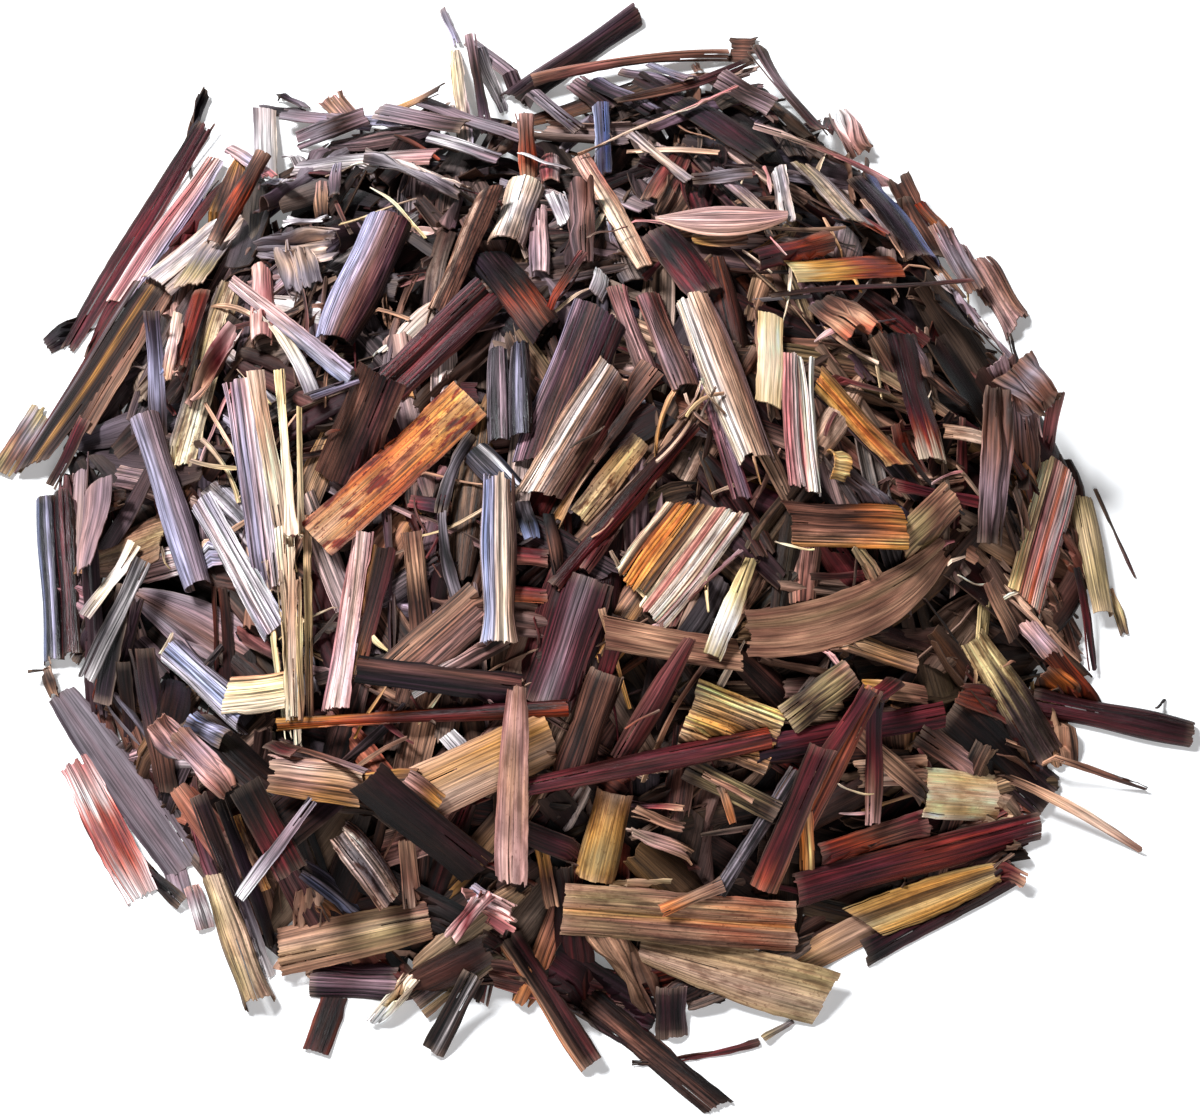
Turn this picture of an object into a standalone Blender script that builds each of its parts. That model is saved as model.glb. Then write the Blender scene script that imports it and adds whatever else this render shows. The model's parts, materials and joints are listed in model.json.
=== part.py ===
"""A loose, rounded heap of dried sorghum leaf sheaths and blades, cut into short pieces.

Every leaf piece is a thin curved sheet with its own solid.  The pieces lie on a low mound, which is
the solid that reaches the tips of the hundreds of smaller pieces under and between them.  Each leaf
settles, in the order listed, at the lowest tilt that clears the mound and the leaves already there.
"""
import math

import bmesh
import bpy
import numpy as np
from mathutils import Euler, Matrix, Vector
from mathutils.bvhtree import BVHTree

MM = 0.001                  # the dimensions below are in millimetres

# --- driving dimensions -------------------------------------------------------------------------
LEAF_THICKNESS = 0.6        # a dry sheath wall
CLEARANCE = 0.3             # air between a leaf and what it rests on
MOUND_HEIGHT = 51.0         # crown of the small pieces, above the table
MOUND_RIM = 3.0             # height of the small pieces at the edge of the heap
MOUND_POWER = 2.4           # how long the mound stays high before it falls to its rim
MOUND_RIPPLE = 1.2          # unevenness of the mound
MOUND_SEGMENTS = 48
MOUND_RINGS = 20
# plan radius of the mound, every 15 degrees counterclockwise from +X
MOUND_RADII = (124, 118, 116, 124, 124, 132, 112, 112, 134, 132, 142, 142,
               138, 120, 120, 130, 134, 124, 124, 128, 128, 130, 118, 118)

CELL = 1.0                  # spacing of the height map the leaves settle on
HALF_SPAN = 180.0           # the height map reaches this far from the centre
STEEPEST = 32               # greatest tilt of a leaf, degrees

# --- leaf colours (red, green, blue, roughness) ---------------------------------------------------
COLOURS = {
    "maroon": (0.070, 0.018, 0.020, 0.42),
    "dark_purple": (0.045, 0.026, 0.036, 0.45),
    "purple": (0.115, 0.075, 0.105, 0.48),
    "mauve": (0.300, 0.190, 0.200, 0.58),
    "lavender": (0.340, 0.290, 0.360, 0.55),
    "blue_black": (0.045, 0.055, 0.095, 0.40),
    "grey": (0.190, 0.160, 0.175, 0.62),
    "pale": (0.560, 0.470, 0.350, 0.62),
    "cream": (0.680, 0.620, 0.360, 0.60),
    "tan": (0.430, 0.270, 0.120, 0.55),
    "gold": (0.470, 0.240, 0.055, 0.50),
    "orange": (0.420, 0.150, 0.045, 0.50),
    "rust": (0.240, 0.055, 0.025, 0.45),
    "brown": (0.150, 0.070, 0.045, 0.55),
    "brick": (0.380, 0.140, 0.100, 0.60),
    "khaki": (0.300, 0.240, 0.120, 0.58),
    "straw_pieces": (0.120, 0.070, 0.062, 0.65),
}


def leaf(name, start, end, across, wrap, colour, **shape):
    """One leaf piece: its two ends in plan, its width as seen, and how far its section wraps round.

    The shape words are ends (width at the start and end over the width in the middle), arch, sickle
    and twist (degrees along the piece), cuts (slant of each end), squash (height of the section
    over a round one) and lobes (2 for a sheath folded along its middle).
    """
    row = dict(name=name, start=start, end=end, across=across, wrap=wrap, colour=colour,
               ends=(1.0, 1.0), arch=0, sickle=0, twist=0, cuts=(0, 0), squash=1.0, lobes=1)
    row.update(shape)
    return row


# listed from the lowest pieces to the ones that lie on top of the others
LEAVES = [
    leaf("top_folded_tube", (-25, 130), (11, 161), 7, 200, "dark_purple", squash=0.7, cuts=(-2, 2)),
    leaf("top_red_stick", (-20, 135), (37, 147), 3.4, 190, "rust", arch=14, sickle=-10),
    leaf("maroon_edge_strip", (-112, 122), (-144, 48), 7, 60, "maroon", ends=(0.6, 0.7), twist=20),
    leaf("pink_violet_strip", (-108, 110), (-131, 60), 9, 70, "mauve", ends=(0.7, 1.0)),
    leaf("left_striped_leaf", (-121, 62), (-150, 10), 13, 55, "grey", ends=(1.0, 0.7), cuts=(0, -4)),
    leaf("pale_ribbed_leaf", (-102, 86), (-119, 58), 18, 60, "pale", cuts=(-3, 4), ends=(0.85, 1.0)),
    leaf("pale_pink_sheath", (-87, 106), (-41, 92), 9, 90, "pale", squash=0.8, arch=12),
    leaf("pale_half_tube", (-19, 84), (-24, 50), 9, 170, "pale", squash=0.8),
    leaf("speckled_tan_strip", (-7, 103), (12, 36), 6, 60, "tan", arch=8, ends=(0.9, 0.8)),
    leaf("brown_speckled_sheath_right", (104, 77), (114, 55), 9, 130, "brown", squash=0.8,
         cuts=(1, -3)),
    leaf("black_blue_sheath", (73, 99), (88, 65), 12, 110, "blue_black", arch=8),
    leaf("yellow_rust_strip", (46, 45), (82, 63), 8, 50, "gold"),
    leaf("dark_maroon_orange_leaf", (-29, 50), (-13, 22), 11, 60, "dark_purple", cuts=(2, -3)),
    leaf("mottled_brown_sheath", (-29, 71), (-41, 29), 8, 150, "brown", squash=0.8, cuts=(-2, 3)),
    leaf("big_purple_tube", (-55, 65), (-67, 23), 13, 210, "purple", squash=0.65, ends=(0.95, 0.8)),
    leaf("maroon_folded_leaf", (-27, 33), (-52, 8), 10, 120, "maroon", lobes=2, squash=0.8),
    leaf("lavender_pink_strip", (-98, 55), (-58, 4), 5, 40, "lavender", ends=(0.7, 1.0)),
    leaf("maroon_ribbed_strip", (12, 36), (21, 5), 7, 100, "brown"),
    leaf("purple_wide_leaf", (0, 28), (-14, -14), 15, 110, "purple", squash=0.7, cuts=(2, -2)),
    leaf("black_blue_ribbed_pair", (-23, 18), (-22, -8), 12, 130, "blue_black", lobes=2),
    leaf("gold_brown_sheath", (4, 9), (-14, -24), 12, 105, "tan", cuts=(3, -3)),
    leaf("big_pale_brown_tube", (24, 34), (38, -14), 10, 200, "tan", squash=0.85),
    leaf("pale_yellow_strip", (43, 32), (41, 1), 7.5, 50, "cream"),
    leaf("pink_vertical_leaf", (-57, -27), (-63, -71), 7, 55, "mauve", arch=-14, sickle=12,
         ends=(0.8, 1.1)),
    leaf("orange_mottled_strip", (-69, -30), (-31, 4), 13, 25, "orange", arch=-6),
    leaf("white_blue_tube", (-25, -19), (-24, -60), 8, 220, "lavender", squash=0.8,
         ends=(1.1, 0.9)),
    leaf("multi_striped_broken_leaf", (9, -49), (26, -25), 20, 45, "orange", cuts=(3, -5),
         ends=(0.9, 0.9)),
    leaf("maroon_rust_stick", (-11, -46), (23, -4), 4, 180, "rust", arch=6),
    leaf("gold_orange_strip", (54, 15), (74, -8), 7, 50, "gold", cuts=(-2, 2)),
    leaf("white_pink_striped_leaf", (48, 16), (50, -20), 11, 100, "brick", lobes=2,
         ends=(0.7, 1.0)),
    leaf("brown_orange_sheath", (44, -28), (75, -24), 13, 120, "brown", squash=0.8),
    leaf("maroon_strip_pale_tip", (77, 34), (83, -5), 8.5, 80, "maroon"),
    leaf("curved_brown_blade", (34, -62), (90, -27), 13, 28, "brown", sickle=42, arch=10,
         ends=(0.9, 0.5)),
    leaf("dark_red_tube_right", (108, -55), (148, -64), 7, 240, "maroon", squash=0.8, arch=6),
    leaf("green_brown_node_leaf", (91, -43), (113, -72), 11, 100, "khaki", ends=(0.8, 1.15)),
    leaf("green_tan_tube_right", (126, 1), (129, -32), 7, 200, "khaki", squash=0.8),
    leaf("striped_yellow_red_sheath", (120, 5), (108, -33), 14, 100, "brick", squash=0.8,
         cuts=(2, 2)),
    leaf("gold_olive_leaf", (63, -114), (97, -100), 10, 45, "gold", cuts=(-4, 0), ends=(1.0, 0.5)),
    leaf("dark_red_wide_strip", (46, -109), (108, -89), 9, 80, "rust", ends=(1.0, 0.9)),
    leaf("yellow_curled_leaf", (76, -86), (100, -82), 12, 80, "cream", squash=0.8),
    leaf("light_tan_leaf_front", (9, -121), (54, -132), 13, 40, "tan", ends=(0.45, 1.1),
         cuts=(0, 2)),
    leaf("brown_tube_centre", (2, -64), (-8, -90), 8, 230, "brown", squash=0.8),
    leaf("gold_tube", (4, -89), (-2, -110), 9, 170, "gold", squash=0.8),
    leaf("tan_double_strip", (-9, -115), (47, -117), 13, 80, "tan", lobes=2, cuts=(0, -1)),
    leaf("maroon_orange_tube", (-17, -92), (40, -78), 4.5, 240, "rust"),
    leaf("long_dark_red_stick", (-77, -74), (-7, -73), 3.2, 150, "rust"),
    leaf("pink_mauve_strip", (-19, -68), (-22, -115), 10.5, 45, "mauve", ends=(0.55, 1.0), arch=8),
    leaf("mottled_dark_bottom", (-4, -130), (28, -157), 7, 60, "dark_purple", cuts=(0, 2)),
    leaf("dark_brown_pair_bottom", (-22, -118), (-2, -148), 6.5, 150, "brown", lobes=2),
    leaf("purple_half_tube_bottom", (-69, -126), (-48, -127), 9, 150, "purple", squash=0.8),
    leaf("tan_ribbed_strip_bottom", (-77, -121), (-40, -115), 11, 60, "tan", ends=(1.0, 0.9)),
    leaf("grey_strip_left_bottom", (-136, -52), (-101, -99), 11, 28, "grey", arch=8,
         ends=(0.7, 0.9)),
    leaf("khaki_tube", (-94, -101), (-81, -133), 6, 260, "khaki", ends=(0.9, 1.1)),
    leaf("red_white_ribbed_piece", (-131, -71), (-111, -106), 10, 45, "brick", ends=(0.8, 0.9)),
    leaf("lavender_ribbed_tube_low", (-108, -45), (-85, -69), 7, 260, "lavender"),
    leaf("white_ribbed_tube", (-100, -11), (-79, -48), 8, 120, "lavender", squash=0.9),
    leaf("lavender_tube_left", (-116, 12), (-100, -33), 7, 280, "lavender"),
    leaf("blue_black_sheath_left_edge", (-143, 3), (-136, -44), 11, 150, "blue_black", lobes=2),
]


# --- leaf shape -----------------------------------------------------------------------------------
def arc_section(across_at, half_wrap, v):
    """Width and height offsets across an arc, 0 at its crown; v runs from -1 to 1."""
    radius = across_at / 2 / (math.sin(half_wrap) if half_wrap < math.pi / 2 else 1.0)
    return radius * np.sin(half_wrap * v), radius * (np.cos(half_wrap * v) - 1)


def leaf_surface(row, u, v):
    """Points (mm) of the middle of the leaf wall, at u from 0 to 1 along it and v from -1 to 1."""
    length = math.dist(row["start"], row["end"])
    first, last = row["ends"]
    across = row["across"] * (first * (1 - u) * (1 - 2 * u) + 4 * u * (1 - u) + last * u * (2 * u - 1))
    half_wrap = math.radians(row["wrap"]) / 2
    if row["lobes"] == 2:
        half_y, z = arc_section(across / 2, half_wrap, 2 * np.abs(v) - 1)
        y = np.sign(v) * (across / 4 + half_y)
    else:
        y, z = arc_section(across, half_wrap, v)
    z = z * row["squash"]

    twist = math.radians(row["twist"]) * (u - 0.5)
    y, z = y * np.cos(twist) - z * np.sin(twist), y * np.sin(twist) + z * np.cos(twist)
    slant = (row["cuts"][0] * (1 - u) + row["cuts"][1] * u) * v
    x = length * (u - 0.5) + slant

    arch = math.radians(row["arch"])
    if arch:
        turn, radius = arch * x / length, length / arch
        x, z = (radius + z) * np.sin(turn), (radius + z) * np.cos(turn) - radius
    sickle = math.radians(row["sickle"])
    if sickle:
        turn, radius = sickle * x / length, length / sickle
        x, y = (radius - y) * np.sin(turn), radius - (radius - y) * np.cos(turn)
    return x, y, z


def segments(row):
    """How finely the leaf is divided along and across, from how much it bends."""
    bend = abs(row["arch"]) + abs(row["sickle"]) + abs(row["twist"])
    along = 3 + math.ceil(bend / 8)
    across = max(3, math.ceil(row["wrap"] / 26))
    if row["lobes"] == 2:
        across = 2 * max(3, math.ceil(row["wrap"] / 40))
    return min(along, 8), min(across, 10)


# --- building -------------------------------------------------------------------------------------
def material(colour):
    """The Principled material of a named leaf colour."""
    if colour in bpy.data.materials:
        return bpy.data.materials[colour]
    red, green, blue, roughness = COLOURS[colour]
    made = bpy.data.materials.new(colour)
    made.use_nodes = True
    shader = made.node_tree.nodes["Principled BSDF"]
    shader.inputs["Base Color"].default_value = (red, green, blue, 1)
    shader.inputs["Roughness"].default_value = roughness
    shader.inputs["Metallic"].default_value = 0.0
    return made


def add_object(name, bm, colour, collection):
    """Turn a bmesh into a named object with its own material."""
    mesh = bpy.data.meshes.new(name)
    bm.to_mesh(mesh)
    bm.free()
    obj = bpy.data.objects.new(name, mesh)
    own = material(colour).copy()
    own.name = name + "_" + colour
    mesh.materials.append(own)
    mesh.shade_smooth()
    collection.objects.link(obj)
    return obj


def mound_radius(angle):
    """Plan radius of the mound, blended smoothly between the listed radii."""
    step = 2 * math.pi / len(MOUND_RADII)
    place = (angle % (2 * math.pi)) / step
    index, part = int(place) % len(MOUND_RADII), place % 1
    blend = (1 - math.cos(math.pi * part)) / 2
    return MOUND_RADII[index] * (1 - blend) + MOUND_RADII[(index + 1) % len(MOUND_RADII)] * blend


def build_mound(collection):
    """The upper half of a sphere, drawn out to the plan of the heap and pressed flat."""
    bm = bmesh.new()
    bmesh.ops.create_uvsphere(bm, u_segments=MOUND_SEGMENTS, v_segments=MOUND_RINGS, radius=1.0)
    cut = bmesh.ops.bisect_plane(bm, geom=bm.verts[:] + bm.edges[:] + bm.faces[:], dist=1e-6,
                                 plane_co=(0, 0, 0), plane_no=(0, 0, 1), clear_inner=True)
    bmesh.ops.contextual_create(bm, geom=[g for g in cut["geom_cut"] if isinstance(g, bmesh.types.BMEdge)])
    for vert in bm.verts:
        part = min(1.0, math.hypot(vert.co.x, vert.co.y))
        angle = math.atan2(vert.co.y, vert.co.x)
        radius = part * mound_radius(angle)
        x, y = radius * math.cos(angle), radius * math.sin(angle)
        height = 0.0
        if vert.co.z > 1e-4:
            crown = 1 - part ** MOUND_POWER
            ripple = math.sin(x / 11) * math.cos(y / 13) + 0.6 * math.sin((x + 2 * y) / 17)
            height = MOUND_RIM + (MOUND_HEIGHT - MOUND_RIM) * crown + MOUND_RIPPLE * ripple * crown
        vert.co = Vector((x, y, height)) * MM
    bmesh.ops.recalc_face_normals(bm, faces=bm.faces)
    return add_object("loose_small_leaf_pieces", bm, "straw_pieces", collection)


def build_leaf(row, collection):
    """A flat grid bent into the leaf surface, with Solidify giving the leaf wall."""
    along, across = segments(row)
    bm = bmesh.new()
    bmesh.ops.create_grid(bm, x_segments=along, y_segments=across, size=1.0)
    for vert in bm.verts:
        x, y, z = leaf_surface(row, np.float64((vert.co.x + 1) / 2), np.float64(vert.co.y))
        vert.co = Vector((float(x), float(y), float(z))) * MM
    bmesh.ops.triangulate(bm, faces=bm.faces)
    obj = add_object(row["name"], bm, row["colour"], collection)
    wall = obj.modifiers.new("leaf wall", "SOLIDIFY")
    wall.thickness = LEAF_THICKNESS * MM
    wall.offset = 0.0
    return obj


# --- settling -------------------------------------------------------------------------------------
def solid_mesh(obj):
    """Vertices and faces of the object with its modifiers, in its own axes."""
    bpy.context.view_layer.update()
    evaluated = obj.evaluated_get(bpy.context.evaluated_depsgraph_get())
    mesh = evaluated.to_mesh()
    points = [v.co.copy() for v in mesh.vertices]
    faces = [tuple(p.vertices) for p in mesh.polygons]
    evaluated.to_mesh_clear()
    return points, faces


class Heap:
    """The height map of what is already in the heap, and its solids for the exact test."""

    def __init__(self, mound):
        points, faces = solid_mesh(mound)
        self.solids = [BVHTree.FromPolygons(points, faces)]
        self.count = int(2 * HALF_SPAN / CELL)
        self.heights = np.zeros((self.count, self.count))
        for i in range(self.count):
            for j in range(self.count):
                x, y = (i + 0.5) * CELL - HALF_SPAN, (j + 0.5) * CELL - HALF_SPAN
                hit = self.solids[0].ray_cast(Vector((x * MM, y * MM, 1.0)), Vector((0, 0, -1)))
                if hit[0] is not None:
                    self.heights[i, j] = hit[0].z / MM

    def cells(self, points):
        index = np.floor((points[:, :2] + HALF_SPAN) / CELL).astype(int)
        return np.clip(index, 0, self.count - 1)

    def rest_height(self, points):
        """How high the points must be raised to clear everything under them."""
        index = self.cells(points)
        return float(np.max(self.heights[index[:, 0], index[:, 1]] - points[:, 2]))

    def touches(self, tree):
        return any(solid.overlap(tree) for solid in self.solids)

    def add(self, points, tree):
        index = self.cells(points)
        np.maximum.at(self.heights, (index[:, 0], index[:, 1]), points[:, 2])
        self.solids.append(tree)


def wall_points(row):
    """Points (mm) spread closely over the leaf wall."""
    length = math.dist(row["start"], row["end"])
    arc = max(row["across"], row["across"] * math.radians(row["wrap"]) / 2) * row["lobes"] ** 0.5
    u, v = np.meshgrid(np.linspace(0, 1, int(length / 0.6) + 2), np.linspace(-1, 1, int(arc / 0.6) + 2))
    return np.stack([part.ravel() for part in leaf_surface(row, u, v)], axis=1)


def settle(row, obj, heap):
    """Lay the leaf at the tilt with the lowest middle, then let it down until it almost touches."""
    points = wall_points(row)
    centre = points.mean(axis=0)
    (ax, ay), (bx, by) = row["start"], row["end"]
    heading = math.atan2(by - ay, bx - ax)
    middle = Vector(((ax + bx) / 2, (ay + by) / 2, 0))

    def tilted(pitch, roll):
        turn = Euler((math.radians(roll), math.radians(pitch), heading), "XYZ").to_matrix()
        placed = (points - centre) @ np.array(turn).T + np.array(middle)
        return turn, placed, heap.rest_height(placed - [0, 0, LEAF_THICKNESS / 2])

    best = (0, 0)
    for step, reach in ((8, STEEPEST), (2, 6)):
        pitches = range(best[0] - reach, best[0] + reach + 1, step)
        rolls = range(best[1] - reach, best[1] + reach + 1, step)
        best = min(((p, r) for p in pitches for r in rolls), key=lambda pose: tilted(*pose)[2])
    turn, placed, lift = tilted(*best)

    local, faces = solid_mesh(obj)
    shift = Vector(centre)

    def tree_at(height):
        base = middle + Vector((0, 0, height))
        moved = [turn @ (p - shift * MM) + base * MM for p in local]
        return min(p.z for p in moved), BVHTree.FromPolygons(moved, faces)

    height = lift + CLEARANCE
    while heap.touches(tree_at(height)[1]) or tree_at(height)[0] < 0:
        height += CLEARANCE
    while tree_at(height - 0.2)[0] >= 0 and not heap.touches(tree_at(height - 0.2)[1]):
        height -= 0.2
    height += CLEARANCE
    low, tree = tree_at(height)
    if low < CLEARANCE * 1.5 * MM:
        height -= low / MM
        low, tree = tree_at(height)
        if heap.touches(tree):
            height += CLEARANCE
            low, tree = tree_at(height)
    base = middle + Vector((0, 0, height))
    obj.matrix_world = Matrix.Translation((base - turn @ shift) * MM) @ turn.to_4x4()
    heap.add(placed + [0, 0, height + LEAF_THICKNESS / 2], tree)


def centre_on_base(objects):
    """Put the middle of the whole heap over the origin, with its underside at zero height."""
    bpy.context.view_layer.update()
    corners = [obj.matrix_world @ p for obj in objects for p in solid_mesh(obj)[0]]
    low = Vector([min(c[i] for c in corners) for i in range(3)])
    high = Vector([max(c[i] for c in corners) for i in range(3)])
    shift = Vector((-(low.x + high.x) / 2, -(low.y + high.y) / 2, -low.z))
    for obj in objects:
        obj.matrix_world = Matrix.Translation(shift) @ obj.matrix_world


for old in list(bpy.data.objects):
    bpy.data.objects.remove(old, do_unlink=True)
stack = bpy.data.collections.new("dried_sorghum_leaf_stack")
bpy.context.scene.collection.children.link(stack)

mound_object = build_mound(stack)
leaf_heap = Heap(mound_object)
leaf_objects = []
for leaf_row in LEAVES:
    leaf_object = build_leaf(leaf_row, stack)
    settle(leaf_row, leaf_object, leaf_heap)
    leaf_objects.append(leaf_object)
centre_on_base([mound_object] + leaf_objects)
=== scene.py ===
"""The dried sorghum leaf stack as it looks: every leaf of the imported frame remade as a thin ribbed
sheet, and the hundreds of smaller pieces that its mound stands for, laid one on another.

Lengths are in millimetres until a mesh is made.  A leaf's place along itself is s, from 0 to 1, and
its place across itself is v, from -1 to 1.  A grid is a spacing along a leaf and one across it.
"""
import json
import math
from types import SimpleNamespace

import bpy
import numpy as np
from mathutils import Euler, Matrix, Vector
from mathutils.bvhtree import BVHTree

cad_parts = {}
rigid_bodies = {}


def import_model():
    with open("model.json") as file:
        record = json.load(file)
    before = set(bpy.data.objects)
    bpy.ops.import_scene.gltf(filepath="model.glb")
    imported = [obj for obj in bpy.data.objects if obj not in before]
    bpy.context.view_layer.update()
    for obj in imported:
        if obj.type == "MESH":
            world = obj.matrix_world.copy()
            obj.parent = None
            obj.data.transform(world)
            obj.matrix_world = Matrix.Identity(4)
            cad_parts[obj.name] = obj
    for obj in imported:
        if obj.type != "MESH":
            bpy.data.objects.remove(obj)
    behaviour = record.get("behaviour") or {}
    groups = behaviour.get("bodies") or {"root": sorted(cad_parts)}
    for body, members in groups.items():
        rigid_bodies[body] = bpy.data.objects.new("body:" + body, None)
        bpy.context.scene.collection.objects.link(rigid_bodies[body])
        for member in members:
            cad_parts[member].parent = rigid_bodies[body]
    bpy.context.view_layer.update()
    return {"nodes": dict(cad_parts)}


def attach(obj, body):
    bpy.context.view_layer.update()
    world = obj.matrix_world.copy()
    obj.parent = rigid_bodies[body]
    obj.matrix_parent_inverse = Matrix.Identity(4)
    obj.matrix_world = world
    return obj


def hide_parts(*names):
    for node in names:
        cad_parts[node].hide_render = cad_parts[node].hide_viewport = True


for old in list(bpy.data.objects):
    bpy.data.objects.remove(old, do_unlink=True)
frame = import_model()

MM = 0.001
MOUND = "loose_small_leaf_pieces"
CELL = 1.5          # spacing of the height map that pieces settle on
HALF_SPAN = 186.0   # the height map reaches this far from the middle
OPEN_SKY = 999.0    # height of the ceiling where no leaf of the frame lies
CEILING_GAP = 0.5   # how far that ceiling lies under the middle of the leaves of the frame
PRESSED = 3.0       # how far a leaf may pass the ceiling, to be pressed flat against it
REST = 0.25         # how far the middle of a leaf's wall is from what it rests on
WALL = 0.3          # how far its top is from its middle, and the least height of its middle
LOWEST = 0.05       # least height of any point
rng = np.random.default_rng(11)

# --- colours ---
# a letter, a name and a value for each colour; a ramp of colours is a word of these letters
# lavender and steel, in the ramps of dark glossy leaves, stand partly for a painted cool sheen of the light
PALETTE = """
i ink 080507     p plum 261721    m maroon 36121a  w wine 5b1a1f    u umber 26140f
b brown 6a4437   r rust 8f351b    o orange bf6329  g gold c78a42    t tan b08469
s sand cfae99    y straw d8b985   c cream ead0b2   h white e9dfde   k pink d9aeaa
l blush b98b84   e rose ad6263    v mauve 846b72   a lavender 9792ab  x steel 747fa6
n blue 34457a    q grey 7d7279    d khaki 8f7b55   f olive 675430   z brick 9c3825
""".split()


def linear(text):
    """Linear light of a colour written as six hexadecimal digits."""
    value = np.array([int(text[i:i + 2], 16) for i in (0, 2, 4)]) / 255
    return np.where(value <= 0.04045, value / 12.92, ((value + 0.055) / 1.055) ** 2.4)


COLOUR = {letter: linear(text) for letter, text in zip(PALETTE[::3], PALETTE[2::3])}


def ramp(letters, place):
    """Square roots of the colours at place, from 0 to 1, between evenly spaced colours."""
    stops = np.sqrt([COLOUR[letter] for letter in letters])
    at = np.linspace(0, 1, len(stops))
    return np.stack([np.interp(place, at, stops[:, i]) for i in range(3)], axis=-1)


# --- leaves ---
def leaf(start, end, across, wrap, along, **shape):
    """One leaf from start to end, across wide and curled through wrap degrees, and how it looks.

    ends are its widths at its two ends as shares of across, cuts how far each end is cut on a
    slant, and arch, sickle and twist its bends in degrees. squash is how much of its curl's height
    is left, lobes is 2 for two curls side by side, and a hollow leaf lies on its back. along and
    over are ramps from start to end, and from the right edge to the left one, and mix is how much
    over counts. streak is how much its fibres differ, lines how dark its veins are, spots how
    spotted and patches how cloudy it is. rag is how torn its ends are, tear how torn its sides
    are, slits how many splits run in from its ends, ribs how proud its fibres stand, wave how far
    it sways and crease how crumpled it is.
    """
    usual = dict(ends=(1.0, 1.0), cuts=(0, 0), arch=0, sickle=0, twist=0, squash=1.0, lobes=1,
                 hollow=False, over="", mix=0.65, streak=0.25, lines=0.9, spots=0.0, patches=0.09,
                 rag=0.5, tear=0.5, slits=2, ribs=0.045, wave=0.3, crease=0.0, gloss=0.5, thick=0.36,
                 tone=1.0)
    usual.update(start=start, end=end, across=across, wrap=wrap, along=along, **shape)
    return SimpleNamespace(**usual)


def read_leaf(words, **shape):
    """A leaf from a row of a table: start, end, across, wrap, along/over, then what isn't usual."""
    x0, y0, x1, y1, across, wrap = map(float, words[:6])
    along, _, over = words[6].partition("/")
    for word in words[7:]:
        key, value = word.split("=")
        numbers = tuple(map(float, value.split(",")))
        shape[key] = numbers if len(numbers) > 1 else numbers[0]
    return leaf((x0, y0), (x1, y1), across, wrap, along, over=over, **shape)
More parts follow.
